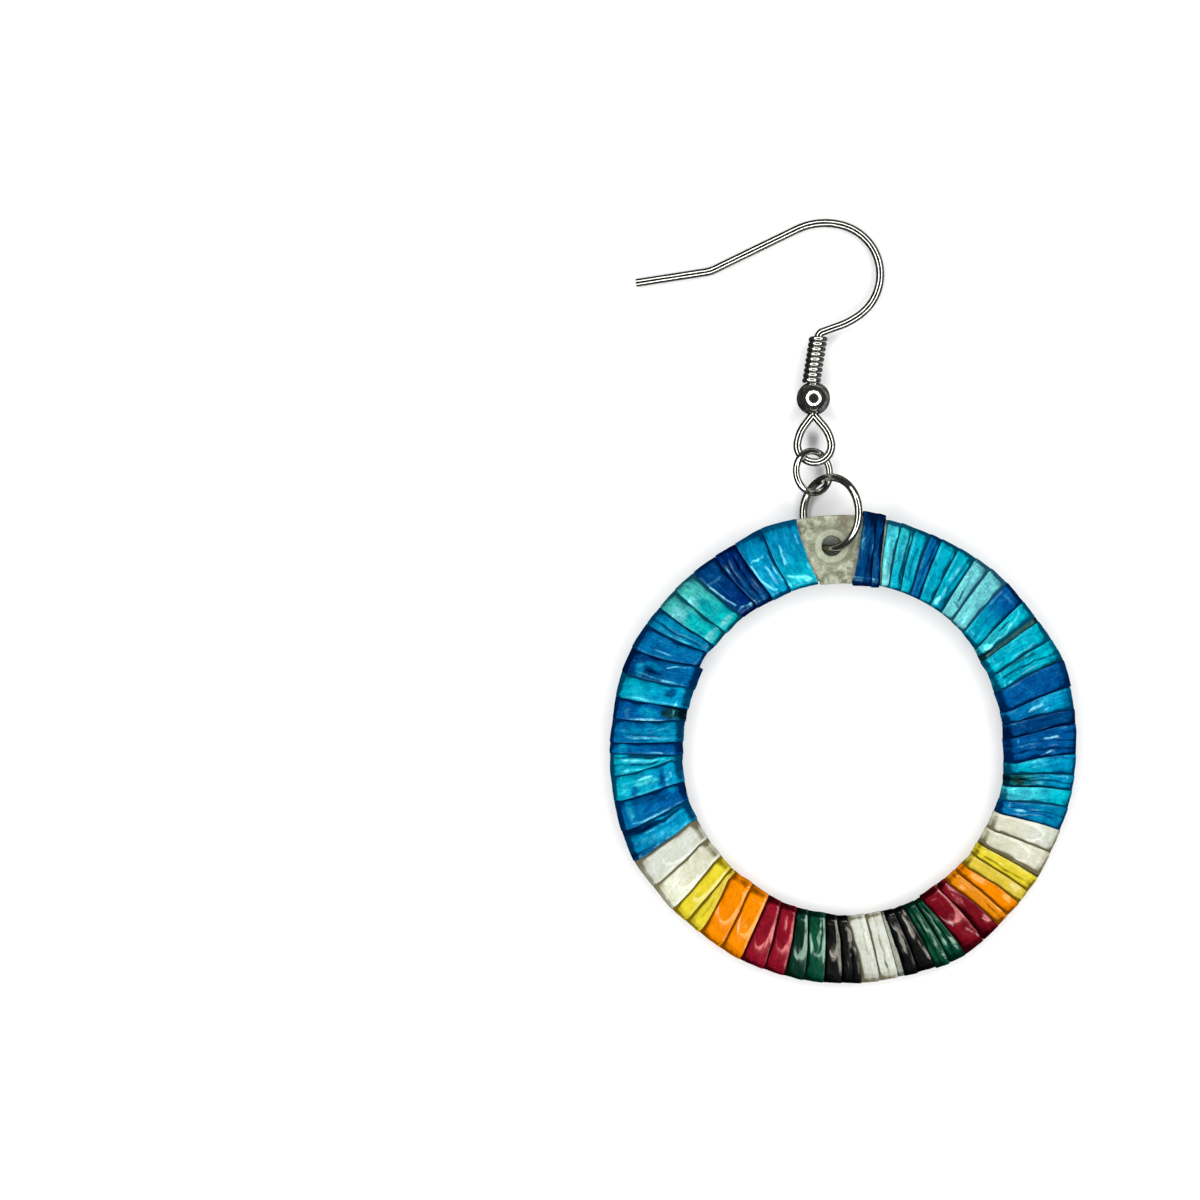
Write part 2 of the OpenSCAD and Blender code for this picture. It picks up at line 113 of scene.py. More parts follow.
# The turns in order round the hoop: the number of the quill, where the turn
# starts at its outer and at its inner edge in degrees clockwise from the top, the
# radius of its rim outside and inside in pixels of the photograph, and its dye
# outside and inside
TURNS = [
    (1, 4.7, 3.2, 240, 164.6, DEEP_BLUE, DEEP_BLUE),
    (1, 8.3, 9.3, 239.4, 165, DEEP_BLUE, DEEP_BLUE),
    (2, 11, 12.7, 234.4, 168.4, BRIGHT_AQUA, PALE_AQUA),
    (2, 14.3, 15.6, 234.4, 168.4, AQUA, TURQUOISE),
    (3, 17.9, 19.5, 233, 168.4, TURQUOISE, TURQUOISE),
    (4, 22, 23, 233, 168.4, MID_BLUE, MID_BLUE),
    (5, 25, 26.5, 233, 168.4, TURQUOISE, TURQUOISE),
    (5, 29.7, 30.7, 233, 168.4, CYAN, TURQUOISE),
    (6, 34.5, 35.3, 233.4, 168, PALE_AQUA, PALE_AQUA),
    (6, 39, 40, 234, 167.4, PALE_AQUA, PALE_AQUA),
    (7, 44.3, 45.3, 234, 166.6, BLUE, TURQUOISE),
    (8, 50.3, 52.5, 233, 165, CYAN, AQUA),
    (9, 56.5, 57.2, 233.6, 162.6, CYAN, CYAN),
    (9, 61.8, 63.5, 235.6, 162.6, CYAN, TURQUOISE),
    (10, 67.5, 69, 237.6, 161, BLUE, BLUE),
    (10, 74.3, 76.7, 235, 161, LIGHT_BLUE, MID_BLUE),
    (11, 79.8, 80.7, 234.6, 161, DEEP_BLUE, DEEP_BLUE),
    (11, 83.5, 86, 233.6, 159.6, BLUE, BLUE),
    (12, 91, 94.7, 232.6, 160.6, LIGHT_BLUE, TURQUOISE),
    (13, 96.2, 98.3, 232.6, 162, LIGHT_BLUE, DEEP_TEAL),
    (13, 100, 102.5, 232.4, 163, CYAN, BRIGHT_AQUA),
    (14, 104.4, 107.3, 232, 163, SEA_BLUE, MID_BLUE),
    (15, 110.3, 112, 231.4, 162.4, WHITE, IVORY),
    (15, 116.5, 118.3, 231.6, 162.4, IVORY, IVORY),
    (16, 123.2, 124.5, 233, 163, YELLOW, YELLOW),
    (16, 127.5, 129, 233, 165.4, WARM_YELLOW, WARM_YELLOW),
    (17, 131, 133.7, 233.6, 164, ORANGE, ORANGE),
    (17, 135.2, 137, 233.6, 164, DEEP_ORANGE, DEEP_ORANGE),
    (18, 138.7, 141.7, 235, 164, DARK_CRIMSON, DARK_CRIMSON),
    (18, 143.5, 145.3, 237, 164, DARK_CRIMSON, DARK_CRIMSON),
    (19, 149.2, 152.5, 239, 167, DARK_GREEN, DARK_GREEN),
    (19, 153.3, 155, 239, 167, DARK_GREEN, DARK_GREEN),
    (20, 157, 159, 236, 167, BLACK, BLACK),
    (20, 161.3, 162.5, 235.6, 167, BLACK, BLACK),
    (21, 166.3, 167, 234.4, 166, WHITE, WHITE),
    (21, 171, 172.5, 234.4, 166, GREY_WHITE, WHITE),
    (22, 175.4, 178.7, 234.4, 166, BLACK, BLACK),
    (22, 180.3, 182, 233.6, 166, BLACK, BLACK),
    (23, 184.8, 186, 234, 164.2, DARK_GREEN, DARK_GREEN),
    (23, 189.8, 192, 234, 164.2, DEEPER_GREEN, DEEPER_GREEN),
    (24, 194.7, 196.3, 233.6, 164.2, CRIMSON, CRIMSON),
    (24, 200, 202, 233.6, 164, CRIMSON, CRIMSON),
    (25, 206.3, 207, 234, 162.6, ORANGE, ORANGE),
    (25, 212, 214, 232.8, 161, ORANGE, ORANGE),
    (26, 218.3, 222, 232.4, 162.2, YELLOW, WARM_YELLOW),
    (26, 222.7, 223.5, 232.6, 162.2, YELLOW, YELLOW),
    (27, 227, 229.3, 234, 161, CHALK, IVORY),
    (27, 234.5, 237, 234.2, 161, WHITE, WHITE),
    (28, 242, 244.8, 237, 161, SEA_BLUE, LIGHT_BLUE),
    (28, 249.8, 252, 236, 162, MID_BLUE, BLUE),
    (29, 257.3, 259, 234.6, 161, TURQUOISE, LIGHT_BLUE),
    (29, 263.7, 267, 234.2, 160.6, TURQUOISE, TURQUOISE),
    (30, 269.3, 268.5, 233.6, 159.8, MID_BLUE, BLUE),
    (30, 272, 273, 233.6, 159.8, MID_BLUE, SEA_BLUE),
    (31, 278, 280.3, 232.6, 160, BLUE, BLUE),
    (31, 283.5, 284.7, 234, 160, TURQUOISE, LIGHT_BLUE),
    (32, 289.5, 292, 235, 160, DEEP_BLUE, MID_BLUE),
    (32, 296, 300, 235, 166, MID_BLUE, MID_BLUE),
    (33, 302.7, 305.7, 233.6, 166.4, SEA_BLUE, SEA_BLUE),
    (34, 308, 309, 232.6, 164.8, SEA_GREEN, GREEN_AQUA),
    (34, 313.5, 315, 232.6, 165, SEA_GREEN, GREEN_AQUA),
    (35, 319.8, 323, 232.4, 166, DEEP_BLUE, NAVY),
    (35, 326.5, 329, 232.4, 165.6, NAVY, DEEP_BLUE),
    (36, 332.3, 335, 233, 165, SEA_BLUE, LIGHT_BLUE),
    (36, 339.5, 341.7, 236.4, 167, SEA_BLUE, TURQUOISE),
]
# Where the last turn ends
LAST_OUTER = 348.3
LAST_INNER = 351.3
# Turns whose outer rim has more painted shade, much darker than their face
DARK_RIMMED = [*range(3, 14), *range(49, 59)]
# Turns that lie snug against the next one, with only a thin line of painted shade between
SNUG = [*range(23, 29), 35, 36, *range(41, 49)]

# Slivers that show past the end of a turn, coloured like the rawhide seen in the gap
# there: where they start at the outer and at the inner edge, and their colour, with
# the gap's shade painted into the darker ones
DARK_GAP = (52, 92, 92)
GREY_GAP = (140, 160, 142)
BROWN_GAP = (108, 100, 72)
HORN = (164, 168, 152)
SLIVERS = {
    2: (10.3, 12.2, GREY_GAP),
    12: (55.1, 56, DARK_GAP),
    24: (122.6, 123.8, BROWN_GAP),
    34: (164.7, 165.9, HORN),
}

# Folds and ridges on the face of a turn, the folds with painted shade in them and a
# painted highlight beside them, the ridges with a painted highlight along them, as
# lines from one angle and share of the way across to another, and how strong they
# are: 0 is the outer edge, 1 the inner one
FOLDS = {
    3: [(12.8, 0, 14.5, 1, 0.4)],
    4: [(17, 0, 18.5, 1, 1)],
    5: [(20, 0.15, 21, 0.85, 0.7)],
    6: [(24, 0, 24.5, 1, 0.8)],
    8: [(31, 0.1, 31.4, 0.95, 0.6), (33.4, 0, 33.2, 0.7, 0.6)],
    9: [(37.2, 0.5, 37.6, 0.72, 1), (35.8, 0.76, 38.8, 0.78, 0.8)],
    12: [(52.5, 0.3, 52.6, 0.6, 1)],
    14: [(65, 0, 65.5, 1, 1)],
    18: [(87.5, 0, 88.6, 1, 1), (89.5, 0, 91.2, 1, 1)],
    20: [(98.4, 0, 99.8, 1, 1)],
    22: [(107, 0, 109, 1, 0.8)],
    25: [(126, 0, 127.2, 1, 0.8)],
    28: [(136.9, 0, 138.6, 1, 0.7)],
    31: [(151.5, 0, 153.3, 1, 1)],
    32: [(155.4, 0, 157.2, 1, 1)],
    35: [(168.8, 0, 169.8, 1, 0.6)],
    36: [(173.2, 0.3, 174.8, 1, 0.5)],
    37: [(177.4, 0, 178.6, 0.5, 1)],
    45: [(220.6, 0.1, 221.6, 0.6, 0.5)],
    49: [(248.2, 0, 250.6, 1, 1)],
    52: [(266.3, 0, 267, 0.8, 1), (268.2, 0, 268, 0.8, 1)],
    54: [(274.6, 0.1, 275, 0.9, 0.7)],
    57: [(292.6, 0.1, 293.6, 0.7, 0.5)],
    59: [(304.8, 0, 306.4, 1, 1)],
    63: [(328.2, 0, 330, 1, 1), (330.2, 0, 331.8, 1, 1)],
    64: [(336.2, 0.5, 338.6, 1, 0.8)],
}
RIDGES = {
    1: [(8, 0.3, 8.7, 0.97, 0.8), (5.2, 0.2, 5, 0.7, 0.4)],
    2: [(9.3, 0.4, 10.2, 0.9, 0.4)],
    3: [(12, 0.1, 13.2, 0.8, 0.5)],
    4: [(15.8, 0.1, 17.2, 0.9, 0.4)],
    5: [(20.8, 0.1, 22.2, 0.95, 0.5)],
    8: [(32.2, 0.05, 32, 0.5, 0.7), (31.9, 0.6, 31.9, 0.97, 0.8)],
    12: [
        (51.3, 0.06, 53.2, 0.25, 0.9),
        (53.2, 0.25, 54, 0.55, 1.1),
        (54, 0.55, 54.6, 0.95, 1.2),
    ],
    13: [(60.1, 0.1, 61.8, 0.7, 0.9)],
    14: [(66.2, 0.2, 67.3, 0.9, 0.6)],
    16: [(77.3, 0.42, 78, 0.7, 1.2), (78.6, 0.3, 80.3, 0.95, 1.2)],
    17: [(83.6, 0.35, 85.2, 0.8, 1.1)],
    18: [
        (86.4, 0.2, 87.1, 0.5, 1.5),
        (88, 0.55, 88.6, 0.95, 1.4),
        (90.4, 0.3, 93.6, 0.75, 1.4),
    ],
    20: [(98.3, 0.4, 99, 0.7, 0.8), (99.8, 0.45, 101.4, 0.85, 1)],
    21: [(105.2, 0.6, 106.4, 0.95, 0.7)],
    22: [(107.2, 0.4, 108.9, 0.8, 1.2), (109.6, 0.6, 111.2, 0.92, 1)],
    25: [(124.3, 0.1, 125.6, 0.9, 0.5)],
    28: [(135.3, 0.03, 135.7, 0.15, 0.9), (137.6, 0.3, 138.2, 0.97, 0.7)],
    29: [(139.2, 0.04, 140.4, 0.2, 1), (143.6, 0.6, 144.8, 0.92, 0.8)],
    30: [(144.3, 0.04, 145.6, 0.22, 1)],
    31: [(150.3, 0.03, 150.9, 0.25, 1), (152.1, 0.1, 153.6, 0.92, 0.9)],
    32: [(154.1, 0.03, 156, 0.85, 0.9), (156.7, 0.1, 158.2, 0.92, 0.8)],
    33: [(157.5, 0.05, 158.6, 0.45, 0.9), (159.4, 0.5, 160.4, 0.95, 1.1)],
    34: [(162.6, 0.25, 163.6, 0.8, 0.9), (163.8, 0.7, 165, 0.92, 1.1)],
    35: [(167.4, 0.04, 168.2, 0.9, 0.9), (170.3, 0.04, 171.3, 0.9, 1)],
    36: [(172, 0.04, 173.3, 0.9, 0.9), (174.6, 0.1, 176.2, 0.9, 0.7)],
    37: [(175.7, 0.15, 177, 0.55, 1), (178, 0.5, 179.4, 0.95, 0.9)],
    38: [(180.8, 0.1, 182, 0.8, 1)],
    39: [(189.3, 0.4, 191.4, 0.97, 1)],
    40: [(190.6, 0.45, 191.9, 0.92, 1)],
    41: [(198.4, 0.66, 198.9, 0.95, 1)],
    49: [(243.1, 0.05, 243.9, 0.4, 0.5), (247.6, 0.15, 249.2, 0.95, 1)],
    50: [(250.7, 0.1, 252, 0.8, 0.9)],
    51: [(262, 0.33, 263.3, 0.66, 1.6)],
    52: [(264.9, 0.1, 265.6, 0.5, 0.6), (267.5, 0.05, 267.4, 0.92, 1)],
    53: [(269.6, 0.6, 269.4, 0.85, 0.6)],
    54: [(273.7, 0.15, 274, 0.95, 1), (275.8, 0.55, 278.2, 0.95, 0.8)],
    55: [(278.6, 0.15, 280, 0.85, 1)],
    56: [(284, 0.05, 285.4, 0.92, 0.8)],
    57: [(291, 0.1, 292.3, 0.8, 0.8), (295.6, 0.55, 298.8, 0.97, 1.3)],
    58: [(298.8, 0.2, 299.6, 0.6, 0.9), (300.8, 0.87, 303.6, 0.88, 0.6)],
    59: [(303.7, 0.05, 304.8, 0.7, 0.7)],
    62: [
        (321, 0.25, 325.6, 0.25, 0.7),
        (321.2, 0.3, 323.8, 0.86, 1.4),
        (324, 0.92, 328.4, 0.95, 1.6),
    ],
    63: [
        (327.6, 0.1, 328.1, 0.5, 0.45),
        (329.1, 0.05, 329.6, 0.9, 0.4),
        (330.7, 0.05, 331.2, 0.4, 0.5),
        (331.9, 0.55, 333.6, 0.95, 0.6),
    ],
    64: [
        (333.7, 0.36, 334.3, 0.7, 1.4),
        (334.3, 0.7, 336.8, 0.97, 1.6),
        (333.9, 0.33, 338.3, 0.29, 1.4),
        (338.8, 0.3, 340.4, 0.85, 1.3),
        (337.2, 0.45, 338.6, 0.85, 1.2),
    ],
    65: [
        (342.7, 0.2, 343, 0.62, 1.2),
        (341.8, 0.77, 350, 0.93, 1.2),
        (347.5, 0.08, 348, 0.32, 1),
        (349.2, 0.6, 350.6, 0.93, 0.8),
    ],
}
# Depth of a fold and height of a ridge of strength 1
FOLD_DEEP = 0.05
RIDGE_HIGH = 0.035

# Patches of painted highlight and darker patches: angle, share of the way across,
# half width in degrees, half length as a share, and how much lighter or darker
PATCHES = {
    1: [(7.1, 0.5, 0.5, 0.5, -0.5), (5.4, 0.35, 0.6, 0.12, 0.35)],
    2: [(9, 0.3, 0.5, 0.3, -0.4)],
    3: [(13, 0.15, 0.8, 0.12, 0.5)],
    8: [(31.9, 0.88, 0.5, 0.08, 0.8), (34, 0.86, 0.9, 0.12, -0.6)],
    10: [(42.8, 0.88, 0.6, 0.1, 1)],
    11: [(47.5, 0.08, 2.2, 0.05, 0.5), (50.4, 0.9, 0.5, 0.07, 0.9)],
    12: [(54.3, 0.9, 0.9, 0.08, 1.1)],
    13: [(58.8, 0.45, 0.9, 0.35, 0.35), (60.8, 0.86, 0.9, 0.08, 0.7)],
    14: [(68.3, 0.88, 0.7, 0.1, 1.1), (66, 0.75, 1, 0.2, -0.4)],
    16: [(76.8, 0.4, 1.3, 0.2, 0.45), (75.6, 0.8, 0.8, 0.15, -0.3)],
    17: [(81, 0.35, 0.7, 0.3, -0.4)],
    18: [(85.2, 0.4, 0.6, 0.4, -0.5), (90.8, 0.85, 1.4, 0.1, -0.3)],
    19: [(94.8, 0.55, 1.5, 0.14, 0.5)],
    20: [(97.2, 0.04, 0.6, 0.03, 0.8)],
    21: [(103, 0.55, 1.1, 0.1, 0.45)],
    22: [(109.3, 0.75, 1, 0.1, 0.5), (106, 0.2, 0.8, 0.1, -0.3)],
    26: [(129.4, 0.1, 1, 0.12, 1)],
    27: [
        (132.3, 0.12, 0.7, 0.1, 1),
        (134.3, 0.76, 1.1, 0.16, 1),
        (136, 0.95, 3, 0.04, -0.6),
    ],
    28: [(139.6, 0.85, 1, 0.08, 0.6)],
    29: [
        (139.9, 0.13, 0.7, 0.09, 0.7),
        (142.9, 0.68, 1, 0.22, 0.8),
        (143.4, 0.3, 0.8, 0.35, -0.6),
    ],
    30: [(147.4, 0.46, 2.2, 0.1, 0.5)],
    33: [(159.8, 0.68, 0.8, 0.26, 0.65)],
    34: [(163.1, 0.55, 0.8, 0.3, 0.6)],
    35: [(168.6, 0.5, 0.6, 0.5, -0.25), (169, 0.8, 0.5, 0.1, 0.4)],
    36: [(172.4, 0.35, 0.5, 0.35, -0.25)],
    37: [(178.7, 0.66, 0.7, 0.22, 1)],
    38: [(183, 0.45, 0.9, 0.14, 0.8)],
    39: [(187.6, 0.7, 0.5, 0.24, 1.1)],
    40: [(192.8, 0.33, 1.2, 0.1, 0.7)],
    43: [(207.6, 0.65, 0.5, 0.3, 0.5), (210.4, 0.45, 1.4, 0.1, 0.5)],
    46: [(224.3, 0.7, 0.5, 0.25, 0.5)],
    47: [(231, 0.3, 1.8, 0.16, -0.22), (234.6, 0.76, 0.9, 0.1, 0.7)],
    48: [(238.6, 0.5, 1.6, 0.3, -0.2)],
    49: [(245.8, 0.45, 1.2, 0.4, 0.5), (249.2, 0.3, 0.8, 0.3, -0.7)],
    50: [(254, 0.1, 2.5, 0.06, 0.5), (256, 0.55, 0.8, 0.4, -0.4)],
    51: [
        (260.6, 0.1, 2, 0.08, 0.5),
        (260.4, 0.76, 1.8, 0.06, -0.7),
        (261.5, 0.87, 3, 0.06, 0.5),
    ],
    52: [(265.5, 0.12, 1.6, 0.08, 0.4)],
    53: [(270.6, 0.7, 1, 0.2, -0.3)],
    54: [(276, 0.1, 1.6, 0.08, 0.4), (273, 0.5, 0.4, 0.4, -0.5)],
    55: [(280.4, 0.14, 2, 0.06, 0.5), (283.4, 0.93, 1.2, 0.02, 0.7)],
    56: [(288, 0.82, 1.4, 0.1, -0.6), (286, 0.3, 1.4, 0.25, 0.25)],
    57: [(293.4, 0.38, 1.3, 0.16, -0.5), (294.5, 0.15, 1.6, 0.1, 0.3)],
    60: [(309.6, 0.2, 1.6, 0.08, 0.4)],
    61: [(315, 0.26, 1.2, 0.08, 0.5), (316.5, 0.45, 1.2, 0.08, -0.4)],
    62: [(323.4, 0.5, 1.4, 0.3, -0.35), (324, 0.28, 1.8, 0.05, 0.5)],
    64: [(335.6, 0.55, 1.2, 0.15, 0.35), (337.4, 0.85, 0.7, 0.12, 0.7)],
    65: [
        (346, 0.9, 3.6, 0.07, 0.6),
        (342.2, 0.35, 0.5, 0.25, -0.5),
        (344, 0.45, 1, 0.15, 0.4),
    ],
}

# Stains of another dye: angle, share of the way across, half width in degrees,
# half length as a share, and the dye
STAINS = {
    12: [(55.6, 0.94, 0.7, 0.06, DEEPER_GREEN)],
    14: [(63.2, 0.62, 0.5, 0.3, DEEP_TEAL), (67.2, 0.1, 0.5, 0.12, DEEP_TEAL)],
    16: [(75.2, 0.75, 0.9, 0.18, BLUE)],
    19: [(92, 0.35, 0.6, 0.3, MID_BLUE)],
    20: [(99.9, 0.87, 1.2, 0.12, DEEPER_GREEN)],
    22: [(108.2, 0.35, 0.35, 0.3, BLUE)],
    49: [(243.2, 0.45, 0.8, 0.6, DEEP_BLUE), (249, 0.15, 0.7, 0.35, DEEP_BLUE)],
    50: [(254.5, 0.12, 2, 0.07, SEA_BLUE), (257.6, 0.92, 1.2, 0.06, SEA_BLUE)],
    51: [
        (258.9, 0.27, 1.4, 0.05, BLUE),
        # This bright stain is a painted highlight
        (261.6, 0.5, 0.9, 0.2, BRIGHT_AQUA),
        (261.4, 0.8, 3, 0.045, BLUE),
    ],
    53: [(270.8, 0.12, 1.1, 0.08, SEA_BLUE)],
    54: [(275, 0.25, 1.5, 0.14, SEA_BLUE)],
    55: [(281.5, 0.5, 1.2, 0.17, SEA_BLUE), (282.7, 0.93, 2.1, 0.15, DEEPER_GREEN)],
    56: [(288.6, 0.82, 1.4, 0.07, MID_BLUE)],
    57: [
        (292, 0.15, 1.5, 0.07, SEA_BLUE),
        (294.8, 0.36, 0.8, 0.12, SEA_BLUE),
        (293.2, 0.3, 0.7, 0.1, DEEP_BLUE),
    ],
    60: [
        (309.8, 0.24, 1.5, 0.12, PALE_AQUA),
        (311, 0.52, 2, 0.12, GREEN_AQUA),
        (311.4, 0.91, 2.4, 0.05, PALE_AQUA),
    ],
    61: [
        (314.8, 0.3, 0.9, 0.1, PALE_AQUA),
        (316.8, 0.5, 1.7, 0.14, GREEN_AQUA),
        (318.2, 0.92, 2.6, 0.04, PALE_AQUA),
    ],
    64: [(336.8, 0.58, 1.7, 0.24, LIGHT_BLUE)],
    65: [(344.6, 0.45, 1.2, 0.18, LIGHT_BLUE), (348, 0.86, 3, 0.08, CYAN)],
}

# Turns with a facet pressed up on their inner half: where it starts, as a share
# of the way across, and where its middle and half width are along the turn
FACETS = {
    23: (0.2, 0.5, 0.4),
    24: (0.25, 0.5, 0.4),
    30: (0.42, 0.5, 0.4),
    38: (0.4, 0.5, 0.34),
    39: (0.36, 0.42, 0.32),
    40: (0.3, 0.5, 0.34),
    41: (0.32, 0.5, 0.4),
    42: (0.24, 0.55, 0.4),
    43: (0.3, 0.45, 0.38),
    44: (0.3, 0.52, 0.4),
    46: (0.3, 0.5, 0.36),
    47: (0.25, 0.5, 0.4),
    48: (0.3, 0.5, 0.4),
}
# Where a facet is widest, how high it stands and how far its slope reaches
FACET_MID = 0.72
FACET_HIGH = 0.09
FACET_FALL = 0.3

QUILL_NODES = [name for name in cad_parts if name.startswith("quill_")]
QUILL_NODES.sort(key=lambda name: int(name.split("_")[1]))


def clear_selection():
    """Leaves object mode with nothing selected."""
    if bpy.context.object and bpy.context.object.mode != "OBJECT":
        bpy.ops.object.mode_set(mode="OBJECT")
    bpy.ops.object.select_all(action="DESELECT")


def pick(*pieces):
    """Selects these pieces alone, the last one active."""
    clear_selection()
    for piece in pieces:
        piece.select_set(True)
    bpy.context.view_layer.objects.active = pieces[-1]


def settle(piece):
    """Puts the piece's place, turn and scale into its mesh."""
    pick(piece)
    bpy.ops.object.transform_apply(location=True, rotation=True, scale=True)


def apply_modifiers(piece):
    """Makes the piece's modifiers part of its mesh, in their order."""
    pick(piece)
    for modifier in list(piece.modifiers):
        bpy.ops.object.modifier_apply(modifier=modifier.name)


def open_mesh(piece):
    """Goes into edit mode on this piece alone, with all of its mesh selected."""
    pick(piece)
    bpy.ops.object.mode_set(mode="EDIT")
    bpy.ops.mesh.select_all(action="SELECT")


def close_mesh():
    """Goes back to object mode."""
    bpy.ops.object.mode_set(mode="OBJECT")


def face_outwards(piece):
    """Makes the faces of the piece agree, pointing outwards."""
    open_mesh(piece)
    bpy.ops.mesh.normals_make_consistent(inside=False)
    close_mesh()


def scrap(piece):
    """Takes away a shape that was only a tool."""
    pick(piece)
    bpy.ops.object.delete()


def select_edges(piece, wanted):
    """In edit mode, selects the edges that the test picks out."""
    mesh = bmesh.from_edit_mesh(piece.data)
    for edge in [e for e in mesh.edges if wanted(e)]:
        edge.select_set(True)
    bmesh.update_edit_mesh(piece.data)


def onto_hoop(piece):
    """Moves a piece modelled about the middle of the hoop to where it lies."""
    piece.rotation_euler = (math.radians(HOOP_LEAN), 0, 0)
    piece.location = [c * MM for c in HOOP_PLACE]
    settle(piece)


def onto_ear_wire(piece):
    """Moves a piece modelled about the top of the eye to where it lies."""
    heading = math.radians(LEAN_HEADING)
    axis = Vector((math.cos(heading), math.sin(heading), 0))
    place = Matrix.Translation([c * MM for c in EYE_PLACE])
    piece.matrix_world = place @ Matrix.Rotation(-math.radians(HOOK_LEAN), 4, axis)
    settle(piece)


def polar(r, deg):
    """Point of the hoop at a radius and an angle clockwise from the top."""
    return Vector((r * math.sin(math.radians(deg)), r * math.cos(math.radians(deg))))


def heading_of(point):
    """The angle clockwise from the top at which a point of the hoop lies."""
    return math.degrees(math.atan2(point.x, point.y))


def ease(x):
    """Smooth step from 0 to 1."""
    x = min(1.0, max(0.0, x))
    return x * x * (3 - 2 * x)


def bell(away, width):
    """1 in the middle of a mark, and softly down to 0 beyond its width."""
    return math.exp(-((away / width) ** 2))


def drift(x, y, z):
    """Smooth noise, between about -1 and 1."""
    return noise.noise(Vector((x, y, z)))


def linear(colour):
    """A colour as it looks, from 0 to 255, as the part of the lamps' light that
    it gives back."""
    return [LIT * (((c / 255 + 0.055) / 1.055) ** 2.4 if c > 10 else c / 3294) for c in colour]


# Winding the quills

# Edges that turn by more than this stay sharp
QUILL_SHARP_DEG = 31
SHARP_DEG = 40
# Cuts across the band's top, bottom and rims, and the corners' segments
TOP_CUTS = 35
BOTTOM_CUTS = 11
RIM_CUTS = 2
CORNER_SEGMENTS = 5
# Columns of a turn, as shares of its width: close together at its free edge, then
# even to just before its end
COLUMNS_AT_LIP = [0.012, 0.028, 0.05, 0.08, 0.115]
COLUMNS_ACROSS = 22
COLUMNS_TO = 0.985
# How far the rounded shoulder of a turn's free edge reaches
LIP_ROUND = 0.1
# A turn falls gently by this share of its width, with this bow, and then dips
# over the last stretch before its end
FALL = 0.1
FALL_BOW = 1.4
DIP_WIDE = 0.15
# Half widths of the thin line of painted shade before a lap and of the lines of
# painted highlight along the free edge, a little inwards of it, and along the inner bend
LAP_LINE = 0.155
EDGE_LINE = 0.09
EDGE_AWAY = 0.16
BEND_LINE = 0.02
# Half widths of a fold, of the swell beside it and of a ridge's two sides
FOLD_WIDE = 0.12
SWELL_WIDE = 0.14
SWELL_AWAY = 0.26
RIDGE_WIDE = 0.14
RIDGE_STEEP = 0.09
# A turn's rim ends this far under the next turn's, unless it sinks less than this
# on the way, and its tail lies this far under it
RIM_UNDER = 0.05
RIM_SINK = 0.12
TAIL_UNDER = 0.19
# Deepest shade, on a tail and in the gap round a sliver
DEEP_SHADE = -1.2

# A point of a turn: the number of the turn, how far it is from the turn's free
# edge as a share of the width and in millimetres, the width there, and on the
# hoop its angle, its share of the way across from the outer edge and its radius
Point = namedtuple("Point", "turn share_wide mm wide deg share r")


def band_section():
    """The outline of the rawhide band's section at the top of the hoop, as a
    closed loop of edges standing across the band."""
    clear_selection()
    bpy.ops.mesh.primitive_plane_add(
        size=1, location=(0, BAND_MID * MM, 0), rotation=(0, math.pi / 2, 0)
    )
    section = bpy.context.object
    section.name = "band_section"
    section.scale = (HIDE_T * MM, BAND * MM, 1)
    settle(section)
    open_mesh(section)
    bpy.ops.mesh.bevel(offset=HIDE_EDGE * MM, segments=CORNER_SEGMENTS, affect="VERTICES")
    bpy.ops.mesh.delete(type="ONLY_FACE")
    for top, cuts in ((True, TOP_CUTS), (False, BOTTOM_CUTS)):
        bpy.ops.mesh.select_all(action="DESELECT")
        select_edges(
            section,
            lambda edge: edge.calc_length() > BAND / 2 * MM
            and (edge.verts[0].co.z > 0) == top,
        )
        bpy.ops.mesh.subdivide(number_cuts=cuts)
    bpy.ops.mesh.select_all(action="DESELECT")
    select_edges(
        section,
        lambda edge: abs(edge.verts[0].co.z - edge.verts[1].co.z) > HIDE_T / 2 * MM,
    )
    bpy.ops.mesh.subdivide(number_cuts=RIM_CUTS)
    close_mesh()
    return section


def columns(last):
    """Shares of a turn's width at which the section stands, and then how far
    past its end in degrees the tail goes."""
    first = COLUMNS_AT_LIP[-1]
    pace = (COLUMNS_TO - first) / COLUMNS_ACROSS
    across = [first + pace * (k + 1) for k in range(COLUMNS_ACROSS)]
    ends = [(1.0, 0.0)] if last else [(1.0, 0.0), (1.0, LAP_DEG / 2), (1.0, LAP_DEG)]
    return [(0.0, 0.0)] + [(s, 0.0) for s in COLUMNS_AT_LIP + across] + ends


def lines_near(marks, point):
    """For each of these lines, how strongly and how far to its right in
    millimetres it passes the point."""
    for a0, v0, a1, v1, strength in marks:
        if abs(v1 - v0) < 0.2 and abs(a1 - a0) > 2:
            # A line that runs along the hoop is met across it
            along = (point.deg - a0) / (a1 - a0)
            away = (point.share - (v0 + (v1 - v0) * min(1, max(0, along)))) * BAND
        else:
            along = (point.share - v0) / (v1 - v0)
            away = math.radians(point.deg - (a0 + (a1 - a0) * along)) * point.r
        fade = ease((along + 0.1) / 0.25) * ease((1.1 - along) / 0.25)
        if fade > 0 and abs(away) < 0.7:
            yield strength * fade, away


def lip_height(mm):
    """Height over the rawhide near a turn's free edge: a small rounded shoulder."""
    if mm >= LIP_ROUND:
        return LIP_TOP
    return LIP_TOP - (LIP_TOP - LIP_EDGE) * (1 - mm / LIP_ROUND) ** 2


